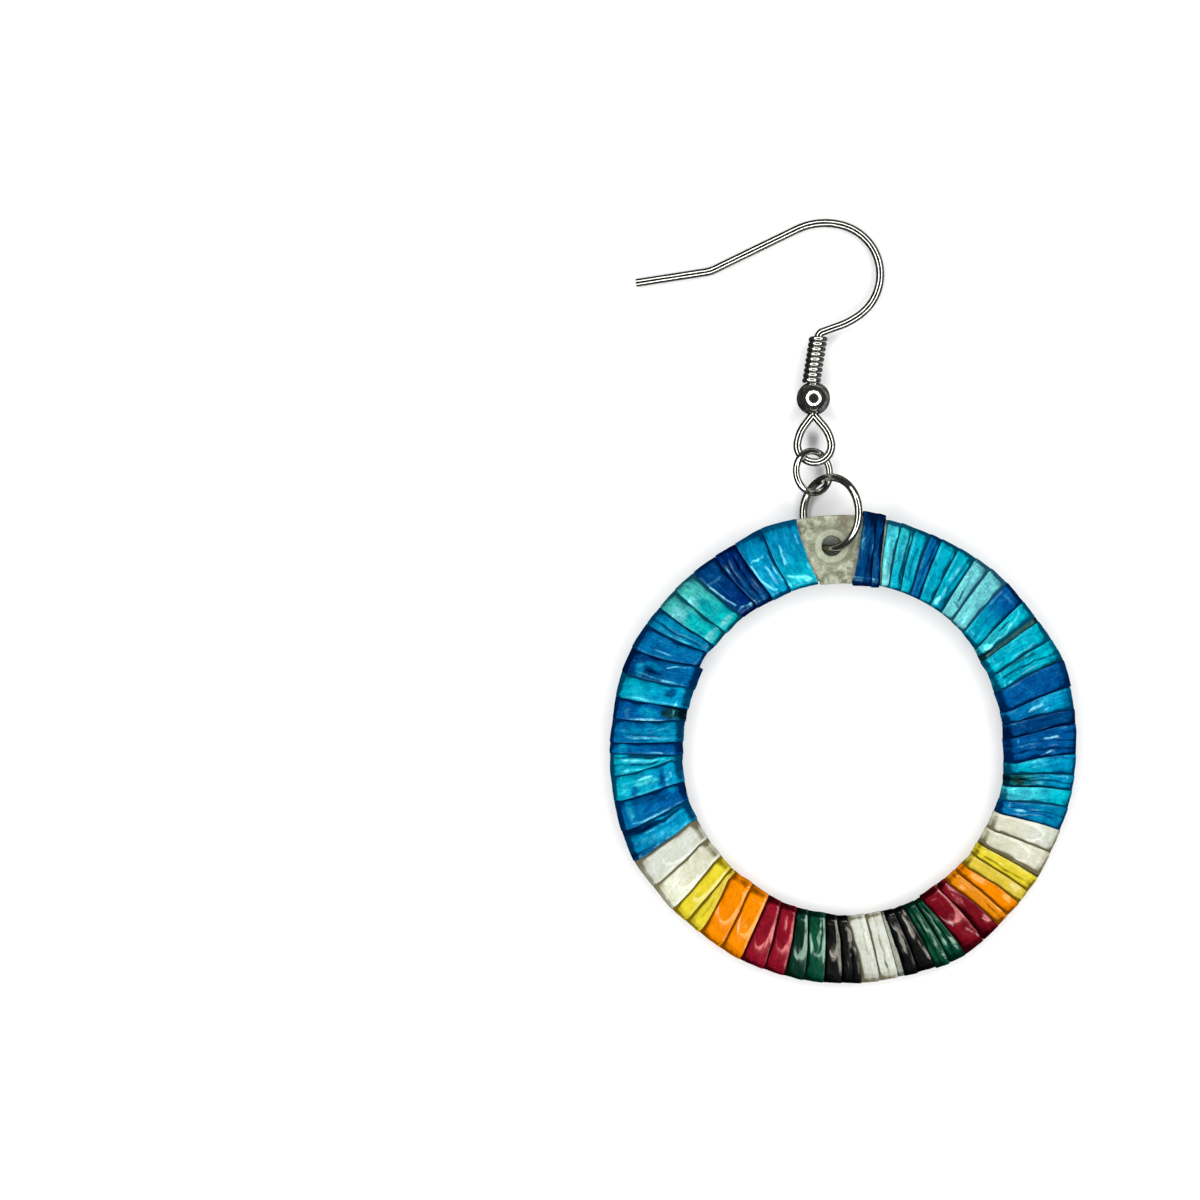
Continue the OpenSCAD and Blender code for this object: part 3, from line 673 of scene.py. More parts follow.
def facet(point):
    """How far inside the edge of a turn's facet the point is, in millimetres, and
    how far over to its right from -1 to 1."""
    top, middle, half = FACETS[point.turn]
    x = (point.share_wide - middle) * point.wide
    y = min(0.0, point.share - FACET_MID) * BAND
    a = half * point.wide * (1 if point.share < FACET_MID else 1.05)
    b = (FACET_MID - top) * BAND
    q = math.hypot(x / a, y / b)
    if q < 0.05:
        return 1.0, 0.0
    return (1 - q) * q / math.hypot(x / a / a, y / b / b), x / a


def facet_highlight(point, inside, side):
    """How much painted highlight lies along a facet's edge: most at its outer end and on its
    left.
    """
    glow = bell(inside, 0.1) if inside > 0 else math.exp(inside / 0.3)
    glow *= 1 - 0.6 * ease((point.share - FACETS[point.turn][0] - 0.1) / 0.5)
    return glow * (1 - 0.5 * ease(0.5 + side / 2))


def gap_before(point):
    """How far a turn's face goes on before it dips under the next one or into a
    sliver, in millimetres."""
    if point.turn not in SLIVERS:
        return point.wide - point.mm
    outer, inner = SLIVERS[point.turn][:2]
    return math.radians(outer + (inner - outer) * point.share - point.deg) * BAND_MID


def lap_shade(point, left):
    """How dark a turn is before it dips under the next one: a thin line there, and
    a shade that fades away from it."""
    snug = point.turn in SNUG
    uneven = 1 + (0.4 if snug else 0.8) * drift(point.turn * 3.3, point.share * 4.0, 2.0)
    reach = min(0.4, 0.22 * point.wide) if snug else min(0.5, 0.27 * point.wide)
    line = 1.65 * bell(left / LAP_LINE, uneven)
    return uneven * (line + 0.85 * math.exp(-max(0.0, left) / reach))


def edge_highlights(point):
    """How much painted highlight lies along the free edge and the inner bend, here and there."""
    edge = ease(drift(point.share * 3.5, point.turn * 2.7, 6.0) * 2 + 0.45)
    bend = ease(drift(point.mm * 1.4, point.turn * 4.3, 9.0) * 2.5 + 0.3)
    line = 0.945 + 0.02 * drift(point.mm * 0.8, point.turn * 3.9, 12.0)
    edge *= bell(point.mm - EDGE_AWAY, EDGE_LINE)
    return 0.6 * edge + 0.7 * bend * bell(point.share - line, BEND_LINE)


def out_of_spot(point, spot):
    """How far out of a spot with ragged edges the point is: 1 at its edge."""
    q = math.hypot((point.deg - spot[0]) / spot[2], (point.share - spot[1]) / spot[3])
    q += 0.5 * drift(point.mm * 1.6, point.share * 7.0, point.turn * 2.1)
    return q + 0.35 * drift(point.mm * 4.5, point.share * 18.0, point.turn * 3.7)


def dye_at(point, outer_dye, inner_dye):
    """The dye at a point, with the stains of other dyes, or the colour of a
    sliver."""
    if point.turn in SLIVERS and gap_before(point) < 0:
        return linear(SLIVERS[point.turn][2])
    mix = ease((point.share - 0.15) / 0.7)
    dye = [a + (b - a) * mix for a, b in zip(outer_dye, inner_dye)]
    for spot in STAINS.get(point.turn, []):
        part = 0.9 * ease((1.5 - out_of_spot(point, spot)) / 0.8)
        dye = [a + (b - a) * part for a, b in zip(dye, linear(spot[4]))]
    return dye


def face_height(point, last):
    """Height of a turn's face over the flat of the rawhide, and how much painted
    highlight (above zero) or painted shade (below zero) it has there."""
    turn = point.turn
    drop = LIP_TOP - TURN_END
    gentle = min(drop, FALL * point.wide)
    height = lip_height(point.mm) - gentle * point.share_wide ** FALL_BOW
    height -= (drop - gentle) * ease(1 - (point.wide - point.mm) / DIP_WIDE)
    left = gap_before(point)
    if turn in SLIVERS:
        height -= max(0.0, height - TURN_END) * ease(0.5 - left / 0.1)
        if left < 0:
            return height, DEEP_SHADE * bell(point.wide - point.mm, 0.07)
    # Painted highlights along the free edge and the inner bend, then painted shade before the lap
    painted_light = edge_highlights(point)
    if not last:
        painted_light -= lap_shade(point, left)
    ragged = 1 + 0.7 * drift(point.mm * 4.0, point.share * 9.0, turn * 2.3)
    # The marks, raised and painted, waver a little from their lines
    deg = point.deg + 0.45 * drift(point.mm * 1.2, point.share * 5.0, turn * 1.9)
    share = point.share + 0.03 * drift(point.mm * 2.2, point.share * 4.0, turn * 6.1)
    point = point._replace(deg=deg, share=share)
    # A facet stands up, with a painted highlight along its edge
    if turn in FACETS:
        inside, side = facet(point)
        height += FACET_HIGH * (math.exp(min(0.0, inside) / FACET_FALL) - 0.4)
        glow = facet_highlight(point, inside, side) * ease(left / 0.4)
        painted_light += 1.3 * glow * (0.5 + 0.5 * ragged)
    # A fold sinks, with painted shade in it and a painted highlight on the swell beside it
    for pull, away in lines_near(FOLDS.get(turn, []), point):
        swell = 0.6 * bell(away - SWELL_AWAY, SWELL_WIDE)
        height -= pull * FOLD_DEEP * (bell(away, FOLD_WIDE) - swell)
        painted_light -= pull * ragged * (0.85 * bell(away + 0.03, 0.11) - 0.3 * bell(away - 0.2, 0.11))
    # A ridge stands up, with a painted highlight along it
    for pull, away in lines_near(RIDGES.get(turn, []), point):
        height += pull * RIDGE_HIGH * bell(away, RIDGE_WIDE)
        painted_light += pull * ragged * 0.8 * bell(away, RIDGE_WIDE if away > 0 else RIDGE_STEEP)
    # Patches of painted highlight, and darker patches
    for spot in PATCHES.get(turn, []):
        painted_light += 0.9 * spot[4] * ragged * ease(1.5 - out_of_spot(point, spot))
    ripple = drift(point.mm * 1.7 + turn * 7.3, share * 3.0, turn * 3.1)
    crinkle = drift(point.mm * 5.5 + turn * 4.1, share * 7.0, turn * 1.7)
    height += (0.03 * ripple + 0.012 * crinkle) * ease(point.mm / 0.2)
    return height, painted_light


def sway(turn, share):
    """How far a turn's free edge bows from its straight line, in degrees."""
    outer, inner = (LAST_OUTER, LAST_INNER) if turn > len(TURNS) else TURNS[turn - 1][1:3]
    bow = -0.13 * (inner - outer) - 0.05
    wander = 0.16 * drift(share * 2.6, turn * 5.3, 0.5)
    wander += 0.05 * drift(share * 9.0, turn * 2.9, 4.5)
    return bow * 4 * share * (1 - share) + wander


def wind_turn(section, turn, row, ends):
    """One turn of a quill, wound about the top of the hoop and then moved to its
    own heading: the section is extruded and turned column by column from the
    turn's free edge to its tail, then raised off the rawhide."""
    outer, inner = row[1:3]
    home = heading_of(polar(1, (outer + inner) / 2) + polar(1, (ends[0] + ends[1]) / 2))
    pick(section)
    bpy.ops.object.duplicate()
    piece = bpy.context.object
    open_mesh(piece)
    turned = 0.0
    slanted = 0.0
    stations = []
    for index, (share, past) in enumerate(columns(turn == len(TURNS))):
        outer_deg = outer + (ends[0] - outer) * share + past
        inner_deg = inner + (ends[1] - inner) * share + past
        a = polar(HIDE_OUT, outer_deg - home)
        b = polar(HIDE_IN, inner_deg - home)
        middle = heading_of(a + b)
        lean = heading_of(a - b) - middle
        if index:
            bpy.ops.mesh.extrude_region()
        bpy.ops.transform.rotate(
            value=math.radians(middle - turned), orient_axis="Z", center_override=(0, 0, 0)
        )
        centre = polar(BAND_MID, middle) * MM
        bpy.ops.transform.rotate(
            value=math.radians(lean - slanted),
            orient_axis="Z",
            center_override=(centre.x, centre.y, 0),
        )
        turned = middle
        slanted = lean
        stations.append((share, past, lean, outer_deg, inner_deg))
    close_mesh()
    raise_turn(piece, section, turn, row, ends, stations)
    piece.rotation_euler = (0, 0, -math.radians(home))
    settle(piece)
    return piece


def rim_heights(row):
    """How far a turn's rims stand off the rawhide's edges, outside and inside."""
    return row[3] / PIXELS_PER_MM - HIDE_OUT, HIDE_IN - row[4] / PIXELS_PER_MM


def chamfered(over, height, bluntness):
    """Share of the full height that a point keeps on the bend of a corner, for
    the bend to be cut flat (bluntness 1) or left round (0)."""
    turned = math.radians(90 * over)
    cut = 1 / (math.sin(turned) + math.cos(turned))
    whole = HIDE_EDGE + height
    return ((1 - bluntness) * whole + bluntness * whole * cut) - HIDE_EDGE


def over_corner(r, z):
    """How far round a corner of the band a point is: 0 on the flat, 1 on the rim."""
    if abs(z) < HIDE_T / 2 - HIDE_EDGE + 0.001:
        return 1.0
    over = (abs(r - BAND_MID) - (BAND / 2 - HIDE_EDGE)) / HIDE_EDGE
    return math.degrees(math.asin(min(1.0, max(0.0, over)))) / 90


def rim_height(point, rim, rim_after, wave, last):
    """How far a turn's rim stands off the rawhide's edge at a point."""
    if point.share_wide >= 1.0 and not last:
        return max(TAIL_END, rim_after - TAIL_UNDER)
    stop = max(rim_after - RIM_UNDER, rim - RIM_SINK)
    height = rim + (stop - rim) * ease(point.share_wide)
    if point.turn in SLIVERS:
        lower = ease(0.5 - gap_before(point) / 0.1)
        height += (min(height, rim_after - RIM_UNDER) - height) * lower
    return max(TAIL_END, height - (LIP_TOP - lip_height(point.mm)) + 0.03 * wave)


def bend_shade(point, over, outside, inner_dark):
    """How dark a turn is on the bend to its rim, with ragged edges. The outer bend
    is dull, and dark at the very edge. The inner one is dark below its bright
    line."""
    side = 2.0 if outside else 7.0
    frayed = drift(point.mm * 2.4, point.turn * 4.7, side)
    frayed += 0.6 * drift(point.mm * 7.0, point.turn * 3.3, side)
    if outside:
        dull = 0.3 * ease((0.07 + 0.03 * frayed - point.share) / 0.04)
        dark = 1.0 if point.turn in DARK_RIMMED else 0.5
        return dull + dark * ease((over - 0.4 - 0.2 * frayed) * 4)
    dark = inner_dark * ease((over - 0.32 - 0.35 * frayed) * 3.5)
    return dark + (0.6 + 0.7 * frayed) * bell(over - 0.5, 0.16)


def raise_turn(piece, section, turn, row, ends, stations):
    """Paints how far each point is to be raised and swayed, and how it lies in the
    quill, its dye and its painted highlight and painted shade, and moves the points."""
    outer, inner = row[1:3]
    last = turn == len(TURNS)
    rims = rim_heights(row)
    rims_after = rims if last else rim_heights(TURNS[turn])
    base = [(v.co.y / MM, v.co.z / MM) for v in section.data.vertices]
    raised = piece.vertex_groups.new(name="raised")
    swayed = piece.vertex_groups.new(name="swayed")
    lays = []
    dyes = []
    painted_lights = []
    outer_dye = linear(row[5])
    inner_dye = linear(row[6])
    inner_dark = 0.4 if inner_dye[0] > 0.4 else 0.75
    for share_wide, past, lean, outer_deg, inner_deg in stations:
        stretch = BAND / 2 * (1 / math.cos(math.radians(lean)) - 1)
        for r, z in base:
            at = len(painted_lights)
            outside = r > BAND_MID
            rim = 0 if outside else 1
            share = min(1.0, max(0.0, (HIDE_OUT - r) / BAND))
            deg = outer_deg + (inner_deg - outer_deg) * share
            start = outer + (inner - outer) * share
            stop = ends[0] + (ends[1] - ends[0]) * share
            mm = math.radians(deg - start) * r
            wide = math.radians(stop - start) * r
            point = Point(turn, share_wide, mm, wide, deg, share, r)
            wave = drift(mm * 1.3 + turn * 5.7, 3.0 if outside else 8.0, 0.0)
            face, painted_light = face_height(point, last)
            if z <= 0:
                # The back is plain
                face = lip_height(mm) - (LIP_TOP - TURN_END) * share_wide ** FALL_BOW
            rim_here = rim_height(point, rims[rim], rims_after[rim], wave, last)
            if past:
                face = TURN_END + (TAIL_END - TURN_END) * min(1.0, past / LAP_DEG)
                rim_here = face
                painted_light = DEEP_SHADE
            # On the corner the face passes into the rim
            over = over_corner(r, z)
            height = face + (rim_here + stretch - face) * ease(over)
            if 0 < over < 1:
                height = chamfered(over, height, 0.75 if outside else 0.25 + 0.4 * wave)
            raised.add([at], max(0.0, height) / RISE, "REPLACE")
            here = sway(turn, share)
            there = sway(turn + 1, share)
            aside = math.radians(here + (there - here) * share_wide) * r
            swayed.add([at], 0.5 + aside, "REPLACE")
            lays += [mm + turn * 3.7, r, z * 3]
            dyes += dye_at(point, outer_dye, inner_dye) + [1.0]
            painted_lights.append(painted_light - bend_shade(point, over, outside, inner_dark + 0.5 * wave))
    for name, kind, field, values in (
        ("lay", "FLOAT_VECTOR", "vector", lays),
        ("dye", "FLOAT_COLOR", "color", dyes),
        ("painted_light", "FLOAT", "value", painted_lights),
    ):
        piece.data.attributes.new(name, kind, "POINT").data.foreach_set(field, values)
    push_out(piece)


def push_out(piece):
    """Moves the points of a turn as they are painted, and gives it a wall."""
    turn_outwards(piece)
    for group, direction, strength in (("raised", "NORMAL", RISE), ("swayed", "X", 1.0)):
        push = piece.modifiers.new(group, "DISPLACE")
        push.vertex_group = group
        push.direction = direction
        push.strength = strength * MM
        push.mid_level = 0
    apply_modifiers(piece)
    # The sway is painted about a half, so that it can go both ways
    piece.location.x = -0.5 * MM
    settle(piece)
    wall = piece.modifiers.new("wall", "SOLIDIFY")
    wall.thickness = QUILL_WALL * MM
    wall.offset = -1
    apply_modifiers(piece)


def turn_outwards(piece):
    """Turns the faces of an open band outwards."""
    top = max(piece.data.polygons, key=lambda face: face.center.z)
    if top.normal.z < 0:
        open_mesh(piece)
        bpy.ops.mesh.flip_normals()
        close_mesh()


def wind_quills():
    """Winds every turn, joins the turns of each quill and lays it on the hoop.
    Gives each quill with the name of its dye."""
    section = band_section()
    turns_of = {}
    for index, row in enumerate(TURNS):
        turn = index + 1
        after = TURNS[index + 1] if turn < len(TURNS) else (0, LAST_OUTER, LAST_INNER)
        piece = wind_turn(section, turn, row, after[1:3])
        turns_of.setdefault(row[0], []).append(piece)
    quills = []
    for number, pieces in turns_of.items():
        pick(*pieces)
        if len(pieces) > 1:
            bpy.ops.object.join()
        quill = bpy.context.object
        node = QUILL_NODES[number - 1]
        quill.name = node.replace("quill_", "wound_quill_")
        onto_hoop(quill)
        bpy.ops.object.shade_smooth_by_angle(angle=math.radians(QUILL_SHARP_DEG))
        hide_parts(node)
        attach(quill, "root")
        quills.append((quill, node.split("_", 2)[2]))
    scrap(section)
    return quills


# The rawhide

# Rings that the band is drawn in through
HIDE_RINGS = [19.0, 17.94, 17.0, 16.0, HIDE_IN]
# Where the bare stretch starts and ends, at the outer and at the inner edge
BARE_START = (LAST_OUTER - 0.4, LAST_INNER + 0.5)
BARE_STOP = (TURNS[0][1] + 0.4, TURNS[0][2] + 0.4)
# The pressed ring round the hole: its radius, half its width, how flat it is and
# how deep it sits
PRESSED_R = 1.32
PRESSED_WIDE = 0.26
PRESSED_FLAT = 0.55
PRESSED_DEEP = 0.01
# Each half of the drill, in front (1) and behind (-1): first it narrows to its waist,
# where the rims were pressed inwards, and then each step rises and widens
WAIST_RISE = 0.3
WAIST = {1: 0.92, -1: 0.86}
DRILL_STEPS = ((0.13, 1.04), (0.06, 1.08), (0.04, 1.12), (0.3, 1.4))


def rawhide_band():
    """The flat ring of rawhide, wider where it is bare, with its hole."""
    clear_selection()
    bpy.ops.mesh.primitive_circle_add(vertices=360, radius=HIDE_OUT * MM, location=(0, 0, 0))
    band = bpy.context.object
    band.name = "rawhide_band"
    open_mesh(band)
    last = HIDE_OUT
    for ring in HIDE_RINGS:
        bpy.ops.mesh.extrude_region()
        bpy.ops.transform.resize(value=(ring / last, ring / last, 1), center_override=(0, 0, 0))
        last = ring
    close_mesh()
    for edge_r, bare_r in ((HIDE_OUT, BARE_OUT), (HIDE_IN, BARE_IN)):
        widen_bare(band, edge_r, bare_r)
    face_outwards(band)
    thick = band.modifiers.new("thick", "SOLIDIFY")
    thick.thickness = HIDE_T * MM
    thick.offset = 0
    apply_modifiers(band)
    soften = band.modifiers.new("soften", "BEVEL")
    soften.width = HIDE_EDGE * MM
    soften.segments = 4
    soften.limit_method = "ANGLE"
    soften.angle_limit = math.radians(60)
    apply_modifiers(band)
    raise_hole_rim(band)
    cut_hole(band)
    onto_hoop(band)
    bpy.ops.object.shade_smooth_by_angle(angle=math.radians(SHARP_DEG))
    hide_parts("hide")
    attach(band, "root")
    return band


def in_bare(point):
    """Whether a point of the hoop's plane lies on the bare stretch."""
    heading = heading_of(point)
    share = (point.length / MM - HIDE_IN) / BAND
    start = BARE_START[1] + (BARE_START[0] - BARE_START[1]) * share - 360
    stop = BARE_STOP[1] + (BARE_STOP[0] - BARE_STOP[1]) * share
    return start < heading < stop


def widen_bare(band, edge_r, bare_r):
    """Draws the edge of the bare stretch out to its own radius."""
    open_mesh(band)
    bpy.ops.mesh.select_all(action="DESELECT")
    select_edges(
        band,
        lambda edge: all(
            abs(v.co.xy.length / MM - edge_r) < 0.05 and in_bare(v.co.xy) for v in edge.verts
        ),
    )
    bpy.ops.mesh.extrude_region()
    scale = bare_r / edge_r
    bpy.ops.transform.resize(value=(scale, scale, 1), center_override=(0, 0, 0))
    close_mesh()


def combine(band, tool, operation):
    """Joins a tool to the band, or cuts it out, and takes the tool away."""
    joint = band.modifiers.new("joint", "BOOLEAN")
    joint.operation = operation
    joint.solver = "EXACT"
    joint.object = tool
    apply_modifiers(band)
    scrap(tool)


def raise_hole_rim(band):
    """The pressed ring round the hole, on both faces."""
    hole = polar(HOLE_R, HOLE_DEG) * MM
    for side in (-1, 1):
        clear_selection()
        bpy.ops.mesh.primitive_torus_add(
            major_radius=PRESSED_R * MM,
            minor_radius=PRESSED_WIDE * MM,
            major_segments=64,
            minor_segments=16,
            location=(hole.x, hole.y, side * (HIDE_T / 2 - PRESSED_DEEP) * MM),
        )
        rim = bpy.context.object
        rim.scale = (1, 1, PRESSED_FLAT)
        settle(rim)
        combine(band, rim, "UNION")


def cut_hole(band):
    """Cuts the hole, with its edges rounded off."""
    hole = polar(HOLE_R, HOLE_DEG) * MM
    clear_selection()
    bpy.ops.mesh.primitive_circle_add(
        vertices=48, radius=HOLE_D / 2 * MM, location=(hole.x, hole.y, 0), fill_type="NGON"
    )
    drill = bpy.context.object
    settle(drill)
    open_mesh(drill)
    for half in (1, -1):
        bpy.ops.mesh.select_all(action="DESELECT")
        mesh = bmesh.from_edit_mesh(drill.data)
        face = max(mesh.faces, key=lambda f: half * f.calc_center_median().z)
        face.select_set(True)
        bmesh.update_edit_mesh(drill.data)
        for rise, wider in ((WAIST_RISE, WAIST[half]), *DRILL_STEPS):
            bpy.ops.mesh.extrude_region_move(
                TRANSFORM_OT_translate={"value": (0, 0, half * rise * MM)}
            )
            bpy.ops.transform.resize(value=(wider, wider, 1), center_override=(hole.x, hole.y, 0))
    close_mesh()
    face_outwards(drill)
    combine(band, drill, "DIFFERENCE")


# The coil

COIL_WIRE = 0.42
COIL_R = 0.61
COIL_PITCH = 0.46
COIL_TURNS = 8.6
COIL_HEADING = 80.9
# From the top of the eye, in the ear wire's own plane, the wire heads this way,
# goes straight on and then bends to the right, and the coil starts just beyond
HOOK_HEADING = 96.9
STRAIGHT = 2.0
BEND_R = 2.9
BEND_DEG = 16.0
COIL_FROM = 0.02


def coil_start():
    """End of the ear wire's first bend."""
    along = STRAIGHT + BEND_R * math.sin(math.radians(BEND_DEG))
    aside = BEND_R * (1 - math.cos(math.radians(BEND_DEG)))
    heading = math.radians(HOOK_HEADING)
    ahead = Vector((math.cos(heading), math.sin(heading), 0))
    right = Vector((math.sin(heading), -math.cos(heading), 0))
    return ahead * along + right * aside


def wind_coil():
    """Round wire wound close along the ear wire."""
    clear_selection()
    bpy.ops.mesh.primitive_circle_add(
        vertices=16, radius=COIL_WIRE / 2 * MM, location=(0, COIL_R * MM, 0)
    )
    coil = bpy.context.object
    coil.name = "wound_coil"
    settle(coil)
    winding = coil.modifiers.new("winding", "SCREW")
    winding.axis = "X"
    winding.angle = math.radians(360 * COIL_TURNS)
    winding.screw_offset = COIL_PITCH * COIL_TURNS * MM
    winding.steps = int(COIL_TURNS * 28)
    winding.render_steps = winding.steps
    apply_modifiers(coil)
    open_mesh(coil)
    bpy.ops.mesh.select_all(action="DESELECT")
    bpy.ops.mesh.select_non_manifold()
    bpy.ops.mesh.edge_face_add()
    close_mesh()
    face_outwards(coil)
    heading = math.radians(COIL_HEADING)
    start = coil_start() + Vector((math.cos(heading), math.sin(heading), 0)) * COIL_FROM
    coil.rotation_euler = (0, 0, heading)
    coil.location = start * MM
    settle(coil)
    onto_ear_wire(coil)
    bpy.ops.object.shade_smooth_by_angle(angle=math.radians(SHARP_DEG))
    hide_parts("wire_coil")
    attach(coil, "root")
    return coil


# Finishes


class Value:
    """A socket of a finish, so that sums on it are written plainly."""

    def __init__(self, finish, socket):
        self.finish = finish
        self.socket = socket

    def sum_of(self, operation, a, b):
        """One sum on two numbers or values."""
        return self.finish.node("ShaderNodeMath", {"operation": operation}, {0: a, 1: b})

    def __add__(self, other):
        return self.sum_of("ADD", self, other)

    def __radd__(self, other):
        return self.sum_of("ADD", other, self)

    def __sub__(self, other):
        return self.sum_of("SUBTRACT", self, other)

    def __rsub__(self, other):
        return self.sum_of("SUBTRACT", other, self)

    def __mul__(self, other):
        return self.sum_of("MULTIPLY", self, other)

    def __rmul__(self, other):
        return self.sum_of("MULTIPLY", other, self)

    def at_least(self, other):
        """The value, but never under the other."""
        return self.sum_of("MAXIMUM", self, other)

    def at_most(self, other):
        """The value, but never over the other."""
        return self.sum_of("MINIMUM", self, other)

    def step(self, low, high):
        """0 below low, 1 above high, smooth between."""
        return self.finish.node(
            "ShaderNodeMapRange",
            {"interpolation_type": "SMOOTHSTEP"},
            {"Value": self, "From Min": low, "From Max": high},
        )


class Finish:
    """A material, or the light of the room, built from nodes."""

    def __init__(self, tree):
        self.tree = tree
        self.tree.nodes.clear()

    def node(self, kind, settings=None, inputs=None, output=0):
        """Adds a node of this kind, and gives the value of one of its outputs."""
        made = self.tree.nodes.new(kind)
        for key, value in (settings or {}).items():
            setattr(made, key, value)
        for key, value in (inputs or {}).items():
            socket = made.inputs[key]
            if isinstance(value, Value):
                self.tree.links.new(value.socket, socket)
            else:
                socket.default_value = value
        return Value(self, made.outputs[output]) if made.outputs else None

    def painted(self, name, output):
        """What is painted on the piece under this name."""
        return self.node("ShaderNodeAttribute", {"attribute_name": name}, output=output)

    def place_in_mm(self):
        """Where a point of the piece is, in millimetres."""
        metres = self.node("ShaderNodeTexCoord", output=3)
        return self.scaled(metres, (1000.0, 1000.0, 1000.0))

    def scaled(self, place, scale):
        """A place with each of its axes multiplied."""
        return self.node("ShaderNodeMapping", None, {"Vector": place, "Scale": scale})

    def cloud(self, place, scale, detail, rough):
        """Soft noise from 0 to 1."""
        inputs = {"Vector": place, "Scale": scale, "Detail": detail, "Roughness": rough}
        return self.node("ShaderNodeTexNoise", None, inputs)

    def streaks(self, lay, scale, detail, rough):
        """Soft noise drawn out along and across a quill."""
        return self.cloud(self.scaled(lay, scale), 1.0, detail, rough)

    def blend(self, share, a, b, kind="MIX"):
        """Two colours mixed by a share, each a value or red, green and blue."""
        a, b = [c if isinstance(c, Value) else (*c, 1.0) for c in (a, b)]
        settings = {"data_type": "RGBA", "blend_type": kind}
        return self.node("ShaderNodeMix", settings, {0: share, 6: a, 7: b}, output=2)

    def times(self, colour, factors):
        """A colour with its red, green and blue multiplied."""
        return self.blend(1.0, colour, factors, "MULTIPLY")

    def bump(self, height, distance, strength):
        """The surface's direction, roughened by a height."""
        inputs = {"Height": height, "Distance": distance, "Strength": strength}
        return self.node("ShaderNodeBump", None, inputs)

    def surface(self, inputs):
        """Ends a material with its surface."""
        shader = self.node("ShaderNodeBsdfPrincipled", None, inputs)
        self.node("ShaderNodeOutputMaterial", None, {"Surface": shader})


def new_material(name):
    """A new material, and its finish to be built."""
    material = bpy.data.materials.new(name)
    material.use_nodes = True
    return material, Finish(material.node_tree)


# The colour of a dye's painted highlight: times its own colour, and light added.
# The blues share one way.
SHEEN = {
    "crimson": (2.0, (0.21, 0.14, 0.13)),
    "dark_green": (1.8, (0.2, 0.27, 0.22)),
    "black": (1.5, (0.19, 0.18, 0.15)),
    "white": (1.12, (0.05, 0.06, 0.07)),
    "yellow": (1.08, (0.04, 0.08, 0.17)),
    "orange": (1.05, (0.06, 0.14, 0.08)),
}
SHEEN_BLUE = (1.25, (0.06, 0.3, 0.28))
# Near-white of the painted glint on the blues
GLINT_BLUE = (0.42, 0.68, 0.8)
PALE_DYES = ("white", "yellow", "orange")
# Times the dye where it took least and where it took most, how strong the painted
# highlights along the creases are, and times the dye in the deepest painted shade
TONES_PALE = ((0.74, 0.71, 0.58), (1.1, 1.11, 1.2), 0.4, (0.2, 0.17, 0.11))
TONES_DARK = ((0.5, 0.45, 0.48), (1.38, 1.38, 1.38), 0.3, (0.1, 0.15, 0.15))
TONES_BLUE = ((0.22, 0.33, 0.5), (1.56, 1.5, 1.32), 0.7, (0.07, 0.13, 0.2))


